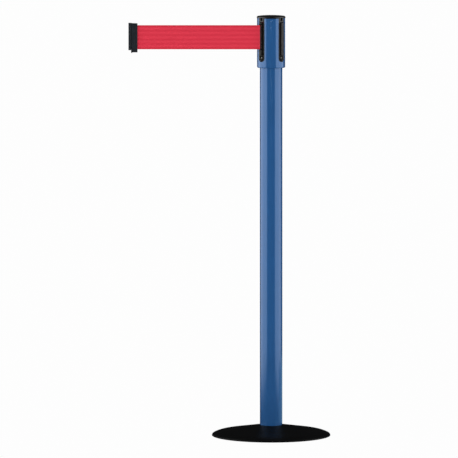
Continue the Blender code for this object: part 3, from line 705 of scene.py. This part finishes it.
def shoulder(inset):
    """The dome's outer curve, moved inwards by inset."""
    end = math.degrees(math.asin((COVER_LO[2] - tight_z) / (EDGE_R - inset)))
    wide = arc(wide_at, wide_z, SHOULDER_R - inset, 90 - tilt, 90 - BREAK_ANGLE, 10)
    tight = arc(edge_at, tight_z, EDGE_R - inset, 90 - BREAK_ANGLE, end, 12)
    return wide + tight[1:]


hole = TUBE_R + 0.3
outer = [(hole, cone(hole), 0.5)] + [(hole + k * 8.0, cone(hole + k * 8.0)) for k in range(1, 12)]
outer = [p for p in outer if p[0] < tangent - 3.0] + shoulder(0)
inner = [(hole, cone(hole) - 1.0)] + [(75.0, cone(75.0) - 1.0)] + shoulder(1.0)
piece(
    "cover_dome",
    turned("cover_dome", outer + inner[::-1], 180),
    "cover",
    "post",
    ["base_cover"],
)

pad_r = PAD_HI[0]
pad = [(0, 0.9)]
r = 12.0
while r < pad_r - 12:
    pad += [(r, 0.9), (r + 0.5, 0.0), (r + 3.5, 0.0), (r + 4.0, 0.9)]
    r += 9.0
pad += [(r, 0.9), (r + 0.5, 0.0), (pad_r - 0.8, 0.0), (pad_r, 0.8), (pad_r, 3.0), (0, 3.0)]
piece(
    "pad_ribbed", turned("pad_ribbed", pad, 120), "rubber", "post", ["floor_pad"]
)

# ================================================================ post
tube_in = TUBE_R - 1.5
piece(
    "tube_coated",
    turned(
        "tube_coated",
        [
            (TUBE_R, TUBE_LO[2], 0.5),
            (TUBE_R, 200.0),
            (TUBE_R, 400.0),
            (TUBE_R, 600.0),
            (TUBE_R, TUBE_HI[2], 0.4),
            (tube_in, TUBE_HI[2], 0.3),
            (tube_in, TUBE_LO[2], 0.3),
        ],
        160,
    ),
    "blue",
    "post",
    ["post_tube"],
)

# ================================================================ head
CORNER = 7.4
slot_cut = extruded(
    "slot_cut", upright(7.9, LINER_Z0 + 0.3, 955.0, 7.5), "x", 21.9, 40.0
)
shell = turned(
    "shell_coated",
    [
        (HEAD_R - 2.0, SHELL_LO[2] + 0.2, 0.2),
        (HEAD_R - 1.7, SHELL_LO[2], 0.3),
        (HEAD_R - 0.6, SHELL_LO[2] + 0.6, 0.9),
        (HEAD_R, SHELL_LO[2] + 2.1, 1.2),
        (HEAD_R, SHELL_HI[2], 0.4),
        (HEAD_R - 2.0, SHELL_HI[2], 0.3),
    ],
    192,
    5,
)
shell = worked(
    shell,
    [
        (
            "DIFFERENCE",
            joined("slots", [(slot_cut, turn_z(a)) for a in CHANNELS.values()]),
        )
    ],
)
piece("shell_coated", shell, "blue", "post", ["head_shell"])

# ---- channel liners
body = extruded(
    "liner_body", upright(7.6, LINER_Z0 + 0.6, LINER_Z1, 7.2), "x", 23.8, 31.9
)
rim_block = extruded(
    "rim_block",
    upright(8.1, LINER_Z0, 934.5, 7.8)[1:-1] + arc(-4.7, 931.1, 3.4, 180, 90, 8) + arc(4.7, 931.1, 3.4, 90, 0, 8),
    "x",
    29.5,
    36.0,
)
rim_band = extruded(
    "rim_band",
    arc(0, 0, 33.0, -18, 18, 24) + arc(0, 0, 32.05, 18, -18, 24),
    "z",
    LINER_Z0 - 5,
    LINER_Z1 + 5,
)
rim = worked(rim_block, [("INTERSECT", rim_band)])
BOSS_U, BOSS_Z = 30.2, 859.5
pocket = extruded(
    "pocket", upright(6.7, BOSS_Z, LINER_Z1 + 5, 0.8, 3), "x", 25.0, 40.0
)
low_pocket = extruded(
    "low_pocket", upright(6.7, LINER_Z0 + 2.0, LINER_Z1 + 5, 6.3), "x", BOSS_U, 40.0
)
SCREW_Z = 854.2
screw_hole = extruded("screw_hole", circle(1.6, 20, 0, SCREW_Z), "x", 20, 32)
LIP_R = 0.5
TURN_R = LIP_R + 0.03 + BELT_T / 2
LIP_X, LIP_Y = -26.45, BELT_Y + TURN_R
exit_cut = extruded(
    "exit_cut",
    [world(23.3, 6.6), world(23.3, 9.6), (LIP_X - 3.6, LIP_Y + LIP_R)]
    + arc(LIP_X, LIP_Y, LIP_R, 90, -90, 14)
    + [(LIP_X - 8.0, LIP_Y - LIP_R), (LIP_X - 8.0, LIP_Y - 8.0), world(34.5, 4.9)],
    "z",
    872.0,
    930.6,
)
lip = extruded("lip", circle(LIP_R - 0.01, 28, LIP_X, LIP_Y), "z", 871.4, 931.2)
land = extruded(
    "land", upright(4.2, 859.0, 930.4, 0.8, 4)[1:-1] + arc(0, 928.2, 4.2, 180, 0, 20), "x", 24.4, 25.3
)
liner = worked(
    body,
    [
        ("UNION", rim),
        ("DIFFERENCE", pocket),
        ("DIFFERENCE", low_pocket),
        ("UNION", land),
        ("DIFFERENCE", screw_hole),
    ],
    ordered=True,
)
for name, angle in CHANNELS.items():
    me = joined("liner", [(liner, turn_z(angle))])
    me = worked(
        me,
        [("DIFFERENCE", exit_cut), ("UNION", lip)] if name == "front_left" else (),
        bevel=0.22,
        segments=2,
        angle=30,
        ordered=True,
    )
    piece(
        "liner_" + name, me, "liner", "post", ["channel_liner_" + name]
    )

# ---- screws low in the channels: domed heads with a hexagon socket
head = turned(
    "socket_head",
    [
        (0, 0),
        (1.2, 0),
        (1.2, 14.4),
        (2.6, 14.4, 0.15),
        (2.6, 15.0, 0.5),
        (1.5, 15.95, 0.8),
        (0, 16.0),
    ],
    36,
)
socket = extruded("socket", circle(1.05, 6), "z", 14.9, 18.0)
screw = worked(head, [("DIFFERENCE", socket)], bevel=0.08, segments=2, angle=40)
lay = shift(BOSS_U + 0.3 - 14.4, 0, SCREW_Z) @ Matrix.Rotation(math.pi / 2, 4, "Y")
for name, angle in CHANNELS.items():
    piece(
        "socket_screw_" + name,
        joined("screw", [(screw, turn_z(angle) @ lay)]),
        "screw",
        "post",
        ["liner_screw_" + name],
    )

# ---- cap
CAP_SKIRT = SHELL_HI[2] + 0.3
cap = turned(
    "cap_crowned",
    [
        (0, 950.0),
        (12.0, 949.88),
        (20.0, 949.55),
        (26.0, 949.05),
        (CAP_R - 1.4, 948.4, 1.6),
        (CAP_R, 946.9, 1.2),
        (CAP_R + 0.1, 946.0, 0.3),
        (CAP_R + 0.4, 945.4, 0.25),
        (CAP_R + 0.4, CAP_SKIRT, 0.3),
        (29.25, CAP_SKIRT, 0.2),
        (29.25, 946.6),
        (0, 946.6),
    ],
    160,
    6,
)
lug = extruded(
    "lug",
    [(25.6, 947.4), (25.6, 933.2), (29.4, 933.2), (31.9, 936.2), (31.9, 947.4)],
    "y",
    -6.2,
    6.2,
)
slit = extruded("slit", box_outline(-3.0, 938.2, 3.0, 945.2), "x", 27.5, 34.0)
cap = worked(
    cap,
    [
        ("UNION", joined("lugs", [(lug, turn_z(a)) for a in CHANNELS.values()])),
        ("DIFFERENCE", joined("slits", [(slit, turn_z(a)) for a in CHANNELS.values()])),
    ],
    bevel=0.22,
    segments=2,
    angle=50,
)
piece("cap_crowned", cap, "cap", "post", ["head_cap"])

# ================================================================ belt
LEAVE_R = ROLL_HI[0] + 0.3 + BELT_T / 2
reach = math.hypot(LIP_X, LIP_Y)
bearing = math.degrees(math.atan2(LIP_Y, LIP_X)) % 360
leave = bearing - math.degrees(math.acos((LEAVE_R + TURN_R) / reach))
HEM_X = (HEM_LO[0] + HEM_HI[0]) / 2
HEM_R = 1.0 + 0.3 + BELT_T / 2
path = arc(0, 0, LEAVE_R, leave - 40, leave, 14)
tail = arc(LIP_X, LIP_Y, TURN_R, leave - 180, -90, 14)
gap_from, gap_to = Vector(path[-1]), Vector(tail[0])
path += [tuple(gap_from.lerp(gap_to, k / 12)) for k in range(1, 12)]
path += tail
flat_from, flat_to = LIP_X, -304.2
BEND_X = flat_from
steps = 150
path += [
    (flat_from + (flat_to - flat_from) * k / steps, BELT_Y) for k in range(1, steps + 1)
]
path += [(-305.5, BELT_Y - 0.42), (-306.8, BELT_Y - 0.85), (HEM_X, BELT_Y - HEM_R)]
path += arc(HEM_X, BELT_Y, HEM_R, 270, 90, 10)[1:]
path += [(-308.4, BELT_Y + HEM_R - 0.15), (-306.2, BELT_Y + 0.95)]

# cross-section: (offset from the belt's middle plane, height); both faces ribbed, edges rounded
RIB_PITCH = 9.85
RIB_H = 0.09
mid_z = (BELT_Z0 + BELT_Z1) / 2
half_z = (BELT_Z1 - BELT_Z0) / 2


def thickness(z):
    """Half the belt's thickness at a height: flat ribs, and a thicker cord at each selvedge."""
    d = abs(z - mid_z)
    rib = 0.5 + 0.5 * math.cos(2 * math.pi * (z - mid_z) / RIB_PITCH)
    rib = rib * rib * (3 - 2 * rib)
    body_half = BELT_T / 2 - RIB_H * (1 - rib)
    groove = 0.10 * math.exp(-(((d - (half_z - 2.6)) / 0.28) ** 2))
    selvedge = 0.05 * (1 if d > half_z - 2.4 else 0)
    return body_half - groove + selvedge


zs = [BELT_Z0 + 0.22 + (BELT_Z1 - BELT_Z0 - 0.44) * k / 110 for k in range(111)]
loop = [(thickness(z), z) for z in zs]
loop += [(0.16, BELT_Z1 - 0.05), (0.0, BELT_Z1), (-0.16, BELT_Z1 - 0.05)]
loop += [(-thickness(z), z) for z in zs[::-1]]
loop += [(-0.16, BELT_Z0 + 0.05), (0.0, BELT_Z0), (0.16, BELT_Z0 + 0.05)]

bm = bmesh.new()
rings = []
for k, (x, y) in enumerate(path):
    ax, ay = path[max(k - 1, 0)]
    bx, by = path[min(k + 1, len(path) - 1)]
    dx, dy = bx - ax, by - ay
    n = math.hypot(dx, dy)
    nx, ny = -dy / n, dx / n
    rings.append([bm.verts.new(mm(x + nx * o, y + ny * o, z)) for o, z in loop])
count = len(loop)
for a, b in zip(rings, rings[1:]):
    for i in range(count):
        j = (i + 1) % count
        bm.faces.new((a[i], a[j], b[j], b[i]))
bm.faces.new(rings[0])
bm.faces.new(rings[-1][::-1])
belt = piece(
    "webbing_run",
    mesh_from(bm, "webbing_run"),
    "web",
    None,
    ["belt_lead", "belt_web"],
    50,
)
clip_edge = FRONT_HI[0]
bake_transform(belt)
# the run between head and belt end draws out evenly, so its weights go up in a straight line
co = np.array([v.co for v in belt.data.vertices], float).reshape(-1, 3)
w = np.clip((BEND_X * 0.001 - co[:, 0]) / ((BEND_X - clip_edge) * 0.001), 0, 1)

# wound turns: fine steps on both ends and a slightly uneven outer face
r0, r1 = 9.5, ROLL_HI[0]
turns = int((r1 - r0) / BELT_T)
top, bottom = [], []
for k in range(turns):
    a = r0 + (r1 - r0) * k / turns
    b = r0 + (r1 - r0) * (k + 1) / turns
    lift = 0.10 * math.sin(k * 2.4) + 0.05 * math.sin(k * 5.1)
    top += [(a + 0.06, BELT_Z1 - 0.35), (a + 0.1, BELT_Z1 - 0.12 + lift * 0.8), (b - 0.06, BELT_Z1 - 0.12 + lift * 0.8)]
    bottom += [(a + 0.06, BELT_Z0 + 0.35), (a + 0.1, BELT_Z0 + 0.12 + lift * 0.8), (b - 0.06, BELT_Z0 + 0.12 + lift * 0.8)]
side = [(r1 - (BELT_T / 2 - thickness(z)), z) for z in np.linspace(BELT_Z1 - 0.3, BELT_Z0 + 0.3, 60)]
piece(
    "wound_turns",
    turned("wound_turns", top + side + bottom[::-1], 96),
    "web",
    "spool",
    ["belt_roll"],
)

# ================================================================ belt end
HALF_T = 3.8
SPLIT = 0.55
z_lo, z_hi = FRONT_LO[2] + 1.3, FRONT_HI[2]


def plate(name, x0, x1, z0, z1, y_back, y_front, left, right, low, high):
    """A plate whose front face is drawn in by a chamfer of its own width on each side."""
    bm = bmesh.new()
    back = [(x0, z0), (x1, z0), (x1, z1 - 1.2), (x1 - 1.0, z1 - 0.5), (x0, z1)]
    front = [
        (x0 + left, z0 + low),
        (x1 - right, z0 + low),
        (x1 - right, z1 - high - 1.0),
        (x1 - right - 0.8, z1 - high - 0.4),
        (x0 + left, z1 - high),
    ]
    sign = 1 if y_front > y_back else -1
    rows = [
        [bm.verts.new(mm(x, y_back, z)) for x, z in back],
        [bm.verts.new(mm(x, y_front - sign * 1.5, z)) for x, z in back],
        [bm.verts.new(mm(x, y_front, z)) for x, z in front],
    ]
    n = len(back)
    for a, b in zip(rows, rows[1:]):
        for i in range(n):
            bm.faces.new((a[i], a[(i + 1) % n], b[(i + 1) % n], b[i]))
    bm.faces.new(rows[0][::-1])
    bm.faces.new(rows[-1])
    return mesh_from(bm, name)


front_plate = plate(
    "front_plate", -316.2, -302.0, z_lo, z_hi, BELT_Y - SPLIT, BELT_Y - HALF_T, 0.4, 1.4, 1.6, 2.0
)
front_pocket = extruded(
    "front_pocket",
    box_outline(-313.2, BELT_Z0 - 0.35, -304.4, BELT_Z1 + 0.35),
    "y",
    BELT_Y - 2.4,
    BELT_Y + 1.0,
)
nub = extruded("nub", box_outline(-316.0, z_lo - 1.3, -313.8, z_lo + 2.0), "y", BELT_Y - 3.0, BELT_Y - 1.2)
recess = extruded(
    "recess",
    box_outline(-312.9, z_lo + 5.0, -307.2, z_hi - 6.4),
    "y",
    BELT_Y - HALF_T - 1.0,
    BELT_Y - HALF_T + 0.12,
)
screw_z = (870.4, 930.95)
bore = joined(
    "bore",
    [
        (
            turned("b", [(0, -6), (1.4, -6), (1.4, 2.6), (0, 2.6)], 24),
            shift(-309.0, BELT_Y, z) @ Matrix.Rotation(math.pi / 2, 4, "X"),
        )
        for z in screw_z
    ],
)
piece(
    "clip_front",
    worked(
        front_plate,
        [
            ("DIFFERENCE", front_pocket),
            ("UNION", nub),
            ("DIFFERENCE", recess),
            ("DIFFERENCE", bore),
        ],
        bevel=0.32,
        segments=3,
        angle=22,
    ),
    "clip",
    "belt_end",
    ["belt_end_cover"],
    40,
)

back_plate = plate(
    "back_plate", -316.6, -302.0, z_lo, z_hi, BELT_Y + SPLIT, BELT_Y + HALF_T, 0.4, 1.6, 1.6, 1.8
)
tongue = extruded(
    "tongue",
    [
        (CLIP_LO[0] + 0.8, BELT_Y - 4.7),
        (-318.6, BELT_Y - 4.7),
        (-317.2, BELT_Y - 3.9),
        (-317.2, BELT_Y + 1.2),
        (-315.6, BELT_Y + 1.2),
        (-315.6, BELT_Y + 3.2),
        (-317.2, BELT_Y + 3.2),
        (-317.2, BELT_Y + 4.7),
        (CLIP_LO[0] + 0.8, BELT_Y + 4.7),
        (CLIP_LO[0], BELT_Y + 3.9),
        (CLIP_LO[0], BELT_Y - 3.9),
    ],
    "z",
    z_lo + 5.0,
    CLIP_HI[2],
)
back_pocket = extruded(
    "back_pocket",
    box_outline(-313.2, BELT_Z0 - 0.35, -304.4, BELT_Z1 + 0.35),
    "y",
    BELT_Y - 1.0,
    BELT_Y + 2.4,
)
head_bore = joined(
    "head_bore",
    [
        (
            turned("b", [(0, -1), (1.4, -1), (1.4, 2.0), (1.85, 2.0), (1.85, 8), (0, 8)], 24),
            shift(-309.0, BELT_Y, z) @ Matrix.Rotation(-math.pi / 2, 4, "X"),
        )
        for z in screw_z
    ],
)
# finger ribs on the back, across the clip
grips = joined(
    "grips",
    [
        (
            extruded(
                "grip",
                box_outline(-313.0, z - 0.5, -305.2, z + 0.5),
                "y",
                BELT_Y + HALF_T - 0.35,
                BELT_Y + HALF_T + 1.0,
            ),
            Matrix.Identity(4),
        )
        for z in np.arange(885.0, 921.0, 3.6)
    ],
)
piece(
    "clip_back",
    worked(
        back_plate,
        [
            ("UNION", tongue),
            ("DIFFERENCE", back_pocket),
            ("DIFFERENCE", head_bore),
            ("DIFFERENCE", grips),
        ],
        bevel=0.30,
        segments=3,
        angle=22,
    ),
    "clip",
    "belt_end",
    ["belt_end_body"],
    40,
)
small = worked(
    turned(
        "small_screw",
        [(0, -2.3), (1.1, -2.3, 0.3), (1.1, 2.3), (1.55, 2.3, 0.1), (1.55, 3.0, 0.3), (1.0, 3.5, 0.4), (0, 3.55)],
        28,
    ),
    [
        ("DIFFERENCE", extruded("cross_a", box_outline(-1.0, 3.0, 1.0, 5.0), "y", -0.2, 0.2)),
        ("DIFFERENCE", extruded("cross_b", box_outline(-0.2, 3.0, 0.2, 5.0), "y", -1.0, 1.0)),
    ],
    bevel=0.06,
    segments=2,
    angle=40,
)
for label, z in zip(("lower", "upper"), screw_z):
    piece(
        "cross_screw_" + label,
        joined(
            "s",
            [(small, shift(-309.0, BELT_Y, z) @ Matrix.Rotation(-math.pi / 2, 4, "X"))],
        ),
        "screw",
        "belt_end",
        ["belt_end_screw_" + label],
    )

# ================================================================ carried-over CAD nodes
KEEP = {
    "iron": ["base_weight"],
    "zinc": ["base_bolt", "lock_washer", "flat_washer", "post_plug", "spindle", "belt_anchor_pin", "belt_end_pin"]
    + ["cassette_pillar_" + c for c in "abcd"]
    + ["cassette_screw_" + c for c in "abcd"],
    "plastic": ["head_adapter", "cassette_base", "cassette_top", "belt_spool", "spool_top_flange"],
    "spring": ["retaining_ring", "power_spring"],
    "acetal": ["spring_arbor", "spring_cover", "bush_lower", "bush_upper"],
    "lining": ["brake_shoe_a", "brake_shoe_b"],
}
for key, names in KEEP.items():
    for n in names:
        ob = NODES[n]
        ob.data.materials.clear()
        ob.data.materials.append(M[key])
        m = ob.modifiers.new("edge", "BEVEL")
        m.width, m.segments = 0.00018, 2
        m.limit_method, m.angle_limit = "ANGLE", math.radians(40)
        m.use_clamp_overlap = True

# ================================================================ floor, light, camera
floor_me = bpy.data.meshes.new("floor")
bm = bmesh.new()
bmesh.ops.create_grid(bm, x_segments=2, y_segments=2, size=14.0)
bm.to_mesh(floor_me)
bm.free()
floor = bpy.data.objects.new("floor", floor_me)
floor.location = (0, 0, -0.0002)
bpy.context.scene.collection.objects.link(floor)
floor.visible_glossy = False
floor.visible_shadow = False
s = Shader("pale_floor")
s.set(Base_Color=(0.9, 0.9, 0.9), Roughness=0.9, Specular_IOR_Level=0.1)
speck = s.noise(3.0, 2.0)
s.colour(s.ramp(speck, [(0.3, 0.88), (0.7, 0.92)]))
# seen directly, the floor is as pale as the backdrop; for light and reflections it is a matt sheet
pale = s.nt.nodes.new("ShaderNodeEmission")
pale.inputs["Color"].default_value = (0.985, 0.985, 0.985, 1)
pick = s.nt.nodes.new("ShaderNodeMixShader")
rays = s.nt.nodes.new("ShaderNodeLightPath")
s.link(rays.outputs["Is Camera Ray"], pick.inputs[0])
s.link(s.bsdf.outputs[0], pick.inputs[1])
s.link(pale.outputs[0], pick.inputs[2])
s.link(pick.outputs[0], s.nt.nodes["Material Output"].inputs["Surface"])
floor_me.materials.append(s.mat)

w = bpy.data.worlds.new("studio")
bpy.context.scene.world = w
w.use_nodes = True
nt = w.node_tree
nt.nodes.clear()
out = nt.nodes.new("ShaderNodeOutputWorld")
path_node = nt.nodes.new("ShaderNodeLightPath")
seen = nt.nodes.new("ShaderNodeBackground")
seen.inputs["Color"].default_value = (0.985, 0.985, 0.985, 1)
fill = nt.nodes.new("ShaderNodeBackground")
fill.inputs["Color"].default_value = (1.0, 1.0, 1.0, 1)
fill.inputs["Strength"].default_value = 0.16
dim = nt.nodes.new("ShaderNodeBackground")
dim.inputs["Color"].default_value = (1.0, 1.0, 1.0, 1)
dim.inputs["Strength"].default_value = 0.03
a = nt.nodes.new("ShaderNodeMixShader")
b = nt.nodes.new("ShaderNodeMixShader")
nt.links.new(path_node.outputs["Is Glossy Ray"], a.inputs[0])
nt.links.new(fill.outputs[0], a.inputs[1])
nt.links.new(dim.outputs[0], a.inputs[2])
nt.links.new(path_node.outputs["Is Camera Ray"], b.inputs[0])
nt.links.new(a.outputs[0], b.inputs[1])
nt.links.new(seen.outputs[0], b.inputs[2])
nt.links.new(b.outputs[0], out.inputs["Surface"])


def softbox(name, x, y0, y1, z0, z1, radiance, outward=False):
    """A tall panel beside the object, facing it or facing away, dimmer towards its lower end."""
    light = bpy.data.lights.new(name, "AREA")
    light.shape = "RECTANGLE"
    light.size = y1 - y0
    light.size_y = z1 - z0
    light.energy = radiance * math.pi * (y1 - y0) * (z1 - z0)
    light.use_nodes = True
    tree = light.node_tree
    place = tree.nodes.new("ShaderNodeNewGeometry")
    split = tree.nodes.new("ShaderNodeSeparateXYZ")
    fall = tree.nodes.new("ShaderNodeMapRange")
    curve = tree.nodes.new("ShaderNodeValToRGB")
    tree.links.new(place.outputs["Position"], split.inputs[0])
    low = -0.25 if x < 0 else -0.295
    fall.inputs["From Min"].default_value, fall.inputs["From Max"].default_value = low, low + 1.05
    tree.links.new(split.outputs["Z"], fall.inputs["Value"])
    stops = [
        (0.0, 0.0),
        (0.0143, 0.045),
        (0.0505, 0.15),
        (0.0867, 0.30),
        (0.123, 0.48),
        (0.159, 0.63),
        (0.195, 0.69),
        (0.238, 0.715),
        (0.476, 0.82),
        (1.0, 1.0),
    ]
    while len(curve.color_ramp.elements) < len(stops):
        curve.color_ramp.elements.new(0.5)
    for e, (at, v) in zip(curve.color_ramp.elements, stops):
        e.position, e.color = at, (v, v, v, 1)
    tree.links.new(fall.outputs["Result"], curve.inputs["Fac"])
    tree.links.new(curve.outputs["Color"], tree.nodes["Emission"].inputs["Strength"])
    ob = bpy.data.objects.new(name, light)
    bpy.context.scene.collection.objects.link(ob)
    ob.location = (x, (y0 + y1) / 2, (z0 + z1) / 2)
    ob.rotation_euler = (math.pi / 2, 0, math.pi / 2 if (x > 0) != outward else -math.pi / 2)
    ob.visible_camera = False
    return ob


softbox("softbox_left", -1.6, -1.73, 1.36, -0.28, 2.4, 2.4)
softbox("softbox_right", 1.6, -1.96, 0.8, -0.3, 2.4, 2.2)
# the belt, all pulled out, runs past the left panel: its far end has the panel's other side for light
softbox("softbox_beyond", -1.6, -1.73, 1.36, -0.28, 2.4, 2.4, outward=True)

# a soft frontal fill, kept out of the reflections
lamp = bpy.data.lights.new("fill_front", "AREA")
lamp.shape, lamp.size, lamp.size_y = "RECTANGLE", 1.4, 1.4
lamp.energy = 0.56 * math.pi**2 * 36.0
front = bpy.data.objects.new("fill_front", lamp)
bpy.context.scene.collection.objects.link(front)
front.location = (-0.1, -6.0, 1.35)
front.rotation_euler = (math.radians(82), 0, 0)
front.visible_glossy = False

# a glowing card behind the base, seen only in reflections, in place of the pale floor: it puts a painted pale-blue
# reflection along the tube's lower edges
card_me = bpy.data.meshes.new("floor_card")
bm = bmesh.new()
bm.faces.new([bm.verts.new(p) for p in ((0.06, -0.03, 0), (1.2, -0.10, 0), (1.2, 1.3, 0), (0.06, 1.3, 0))])
bm.to_mesh(card_me)
bm.free()
card = bpy.data.objects.new("floor_card", card_me)
card.location = (0, 0, 0.0004)
bpy.context.scene.collection.objects.link(card)
card.visible_camera = card.visible_diffuse = card.visible_shadow = False
g = Shader("card_glow")
g.set(Base_Color=(0, 0, 0), Roughness=1.0, Specular_IOR_Level=0.0)
g.bsdf.inputs["Emission Color"].default_value = (0.55, 0.85, 1.0, 1)
g.bsdf.inputs["Emission Strength"].default_value = 0.62
card_me.materials.append(g.mat)

EYE_Z = 1.59
cam = bpy.data.cameras.new("camera")
cam.lens = 429.1
cam.sensor_width = 36.0
cam.sensor_fit = "HORIZONTAL"
SHIFT = (0.4665 - EYE_Z) / 1.036
cam.shift_y = SHIFT
cam.clip_end = 60
eye = bpy.data.objects.new("camera", cam)
bpy.context.scene.collection.objects.link(eye)
eye.location = (-0.0953, -12.35, EYE_Z)
eye.rotation_euler = (math.pi / 2, 0, 0)
bpy.context.scene.camera = eye
# the lens is shifted only while the camera stands on this spot; moved anywhere else it looks straight ahead
spot = bpy.data.objects.new("camera_spot", None)
spot.location = eye.location
bpy.context.scene.collection.objects.link(spot)
curve = cam.driver_add("shift_y")
curve.driver.type = "SUM"
away = curve.driver.variables.new()
away.type = "LOC_DIFF"
away.targets[0].id, away.targets[1].id = eye, spot
for m in list(curve.modifiers):
    curve.modifiers.remove(m)
for at, v in ((0.0, SHIFT), (0.01, SHIFT), (0.05, 0.0), (1.0, 0.0)):
    curve.keyframe_points.insert(at, v).interpolation = "LINEAR"
curve.extrapolation = "CONSTANT"
bpy.context.scene.view_settings.view_transform = "Standard"
bpy.context.scene.view_settings.look = "None"
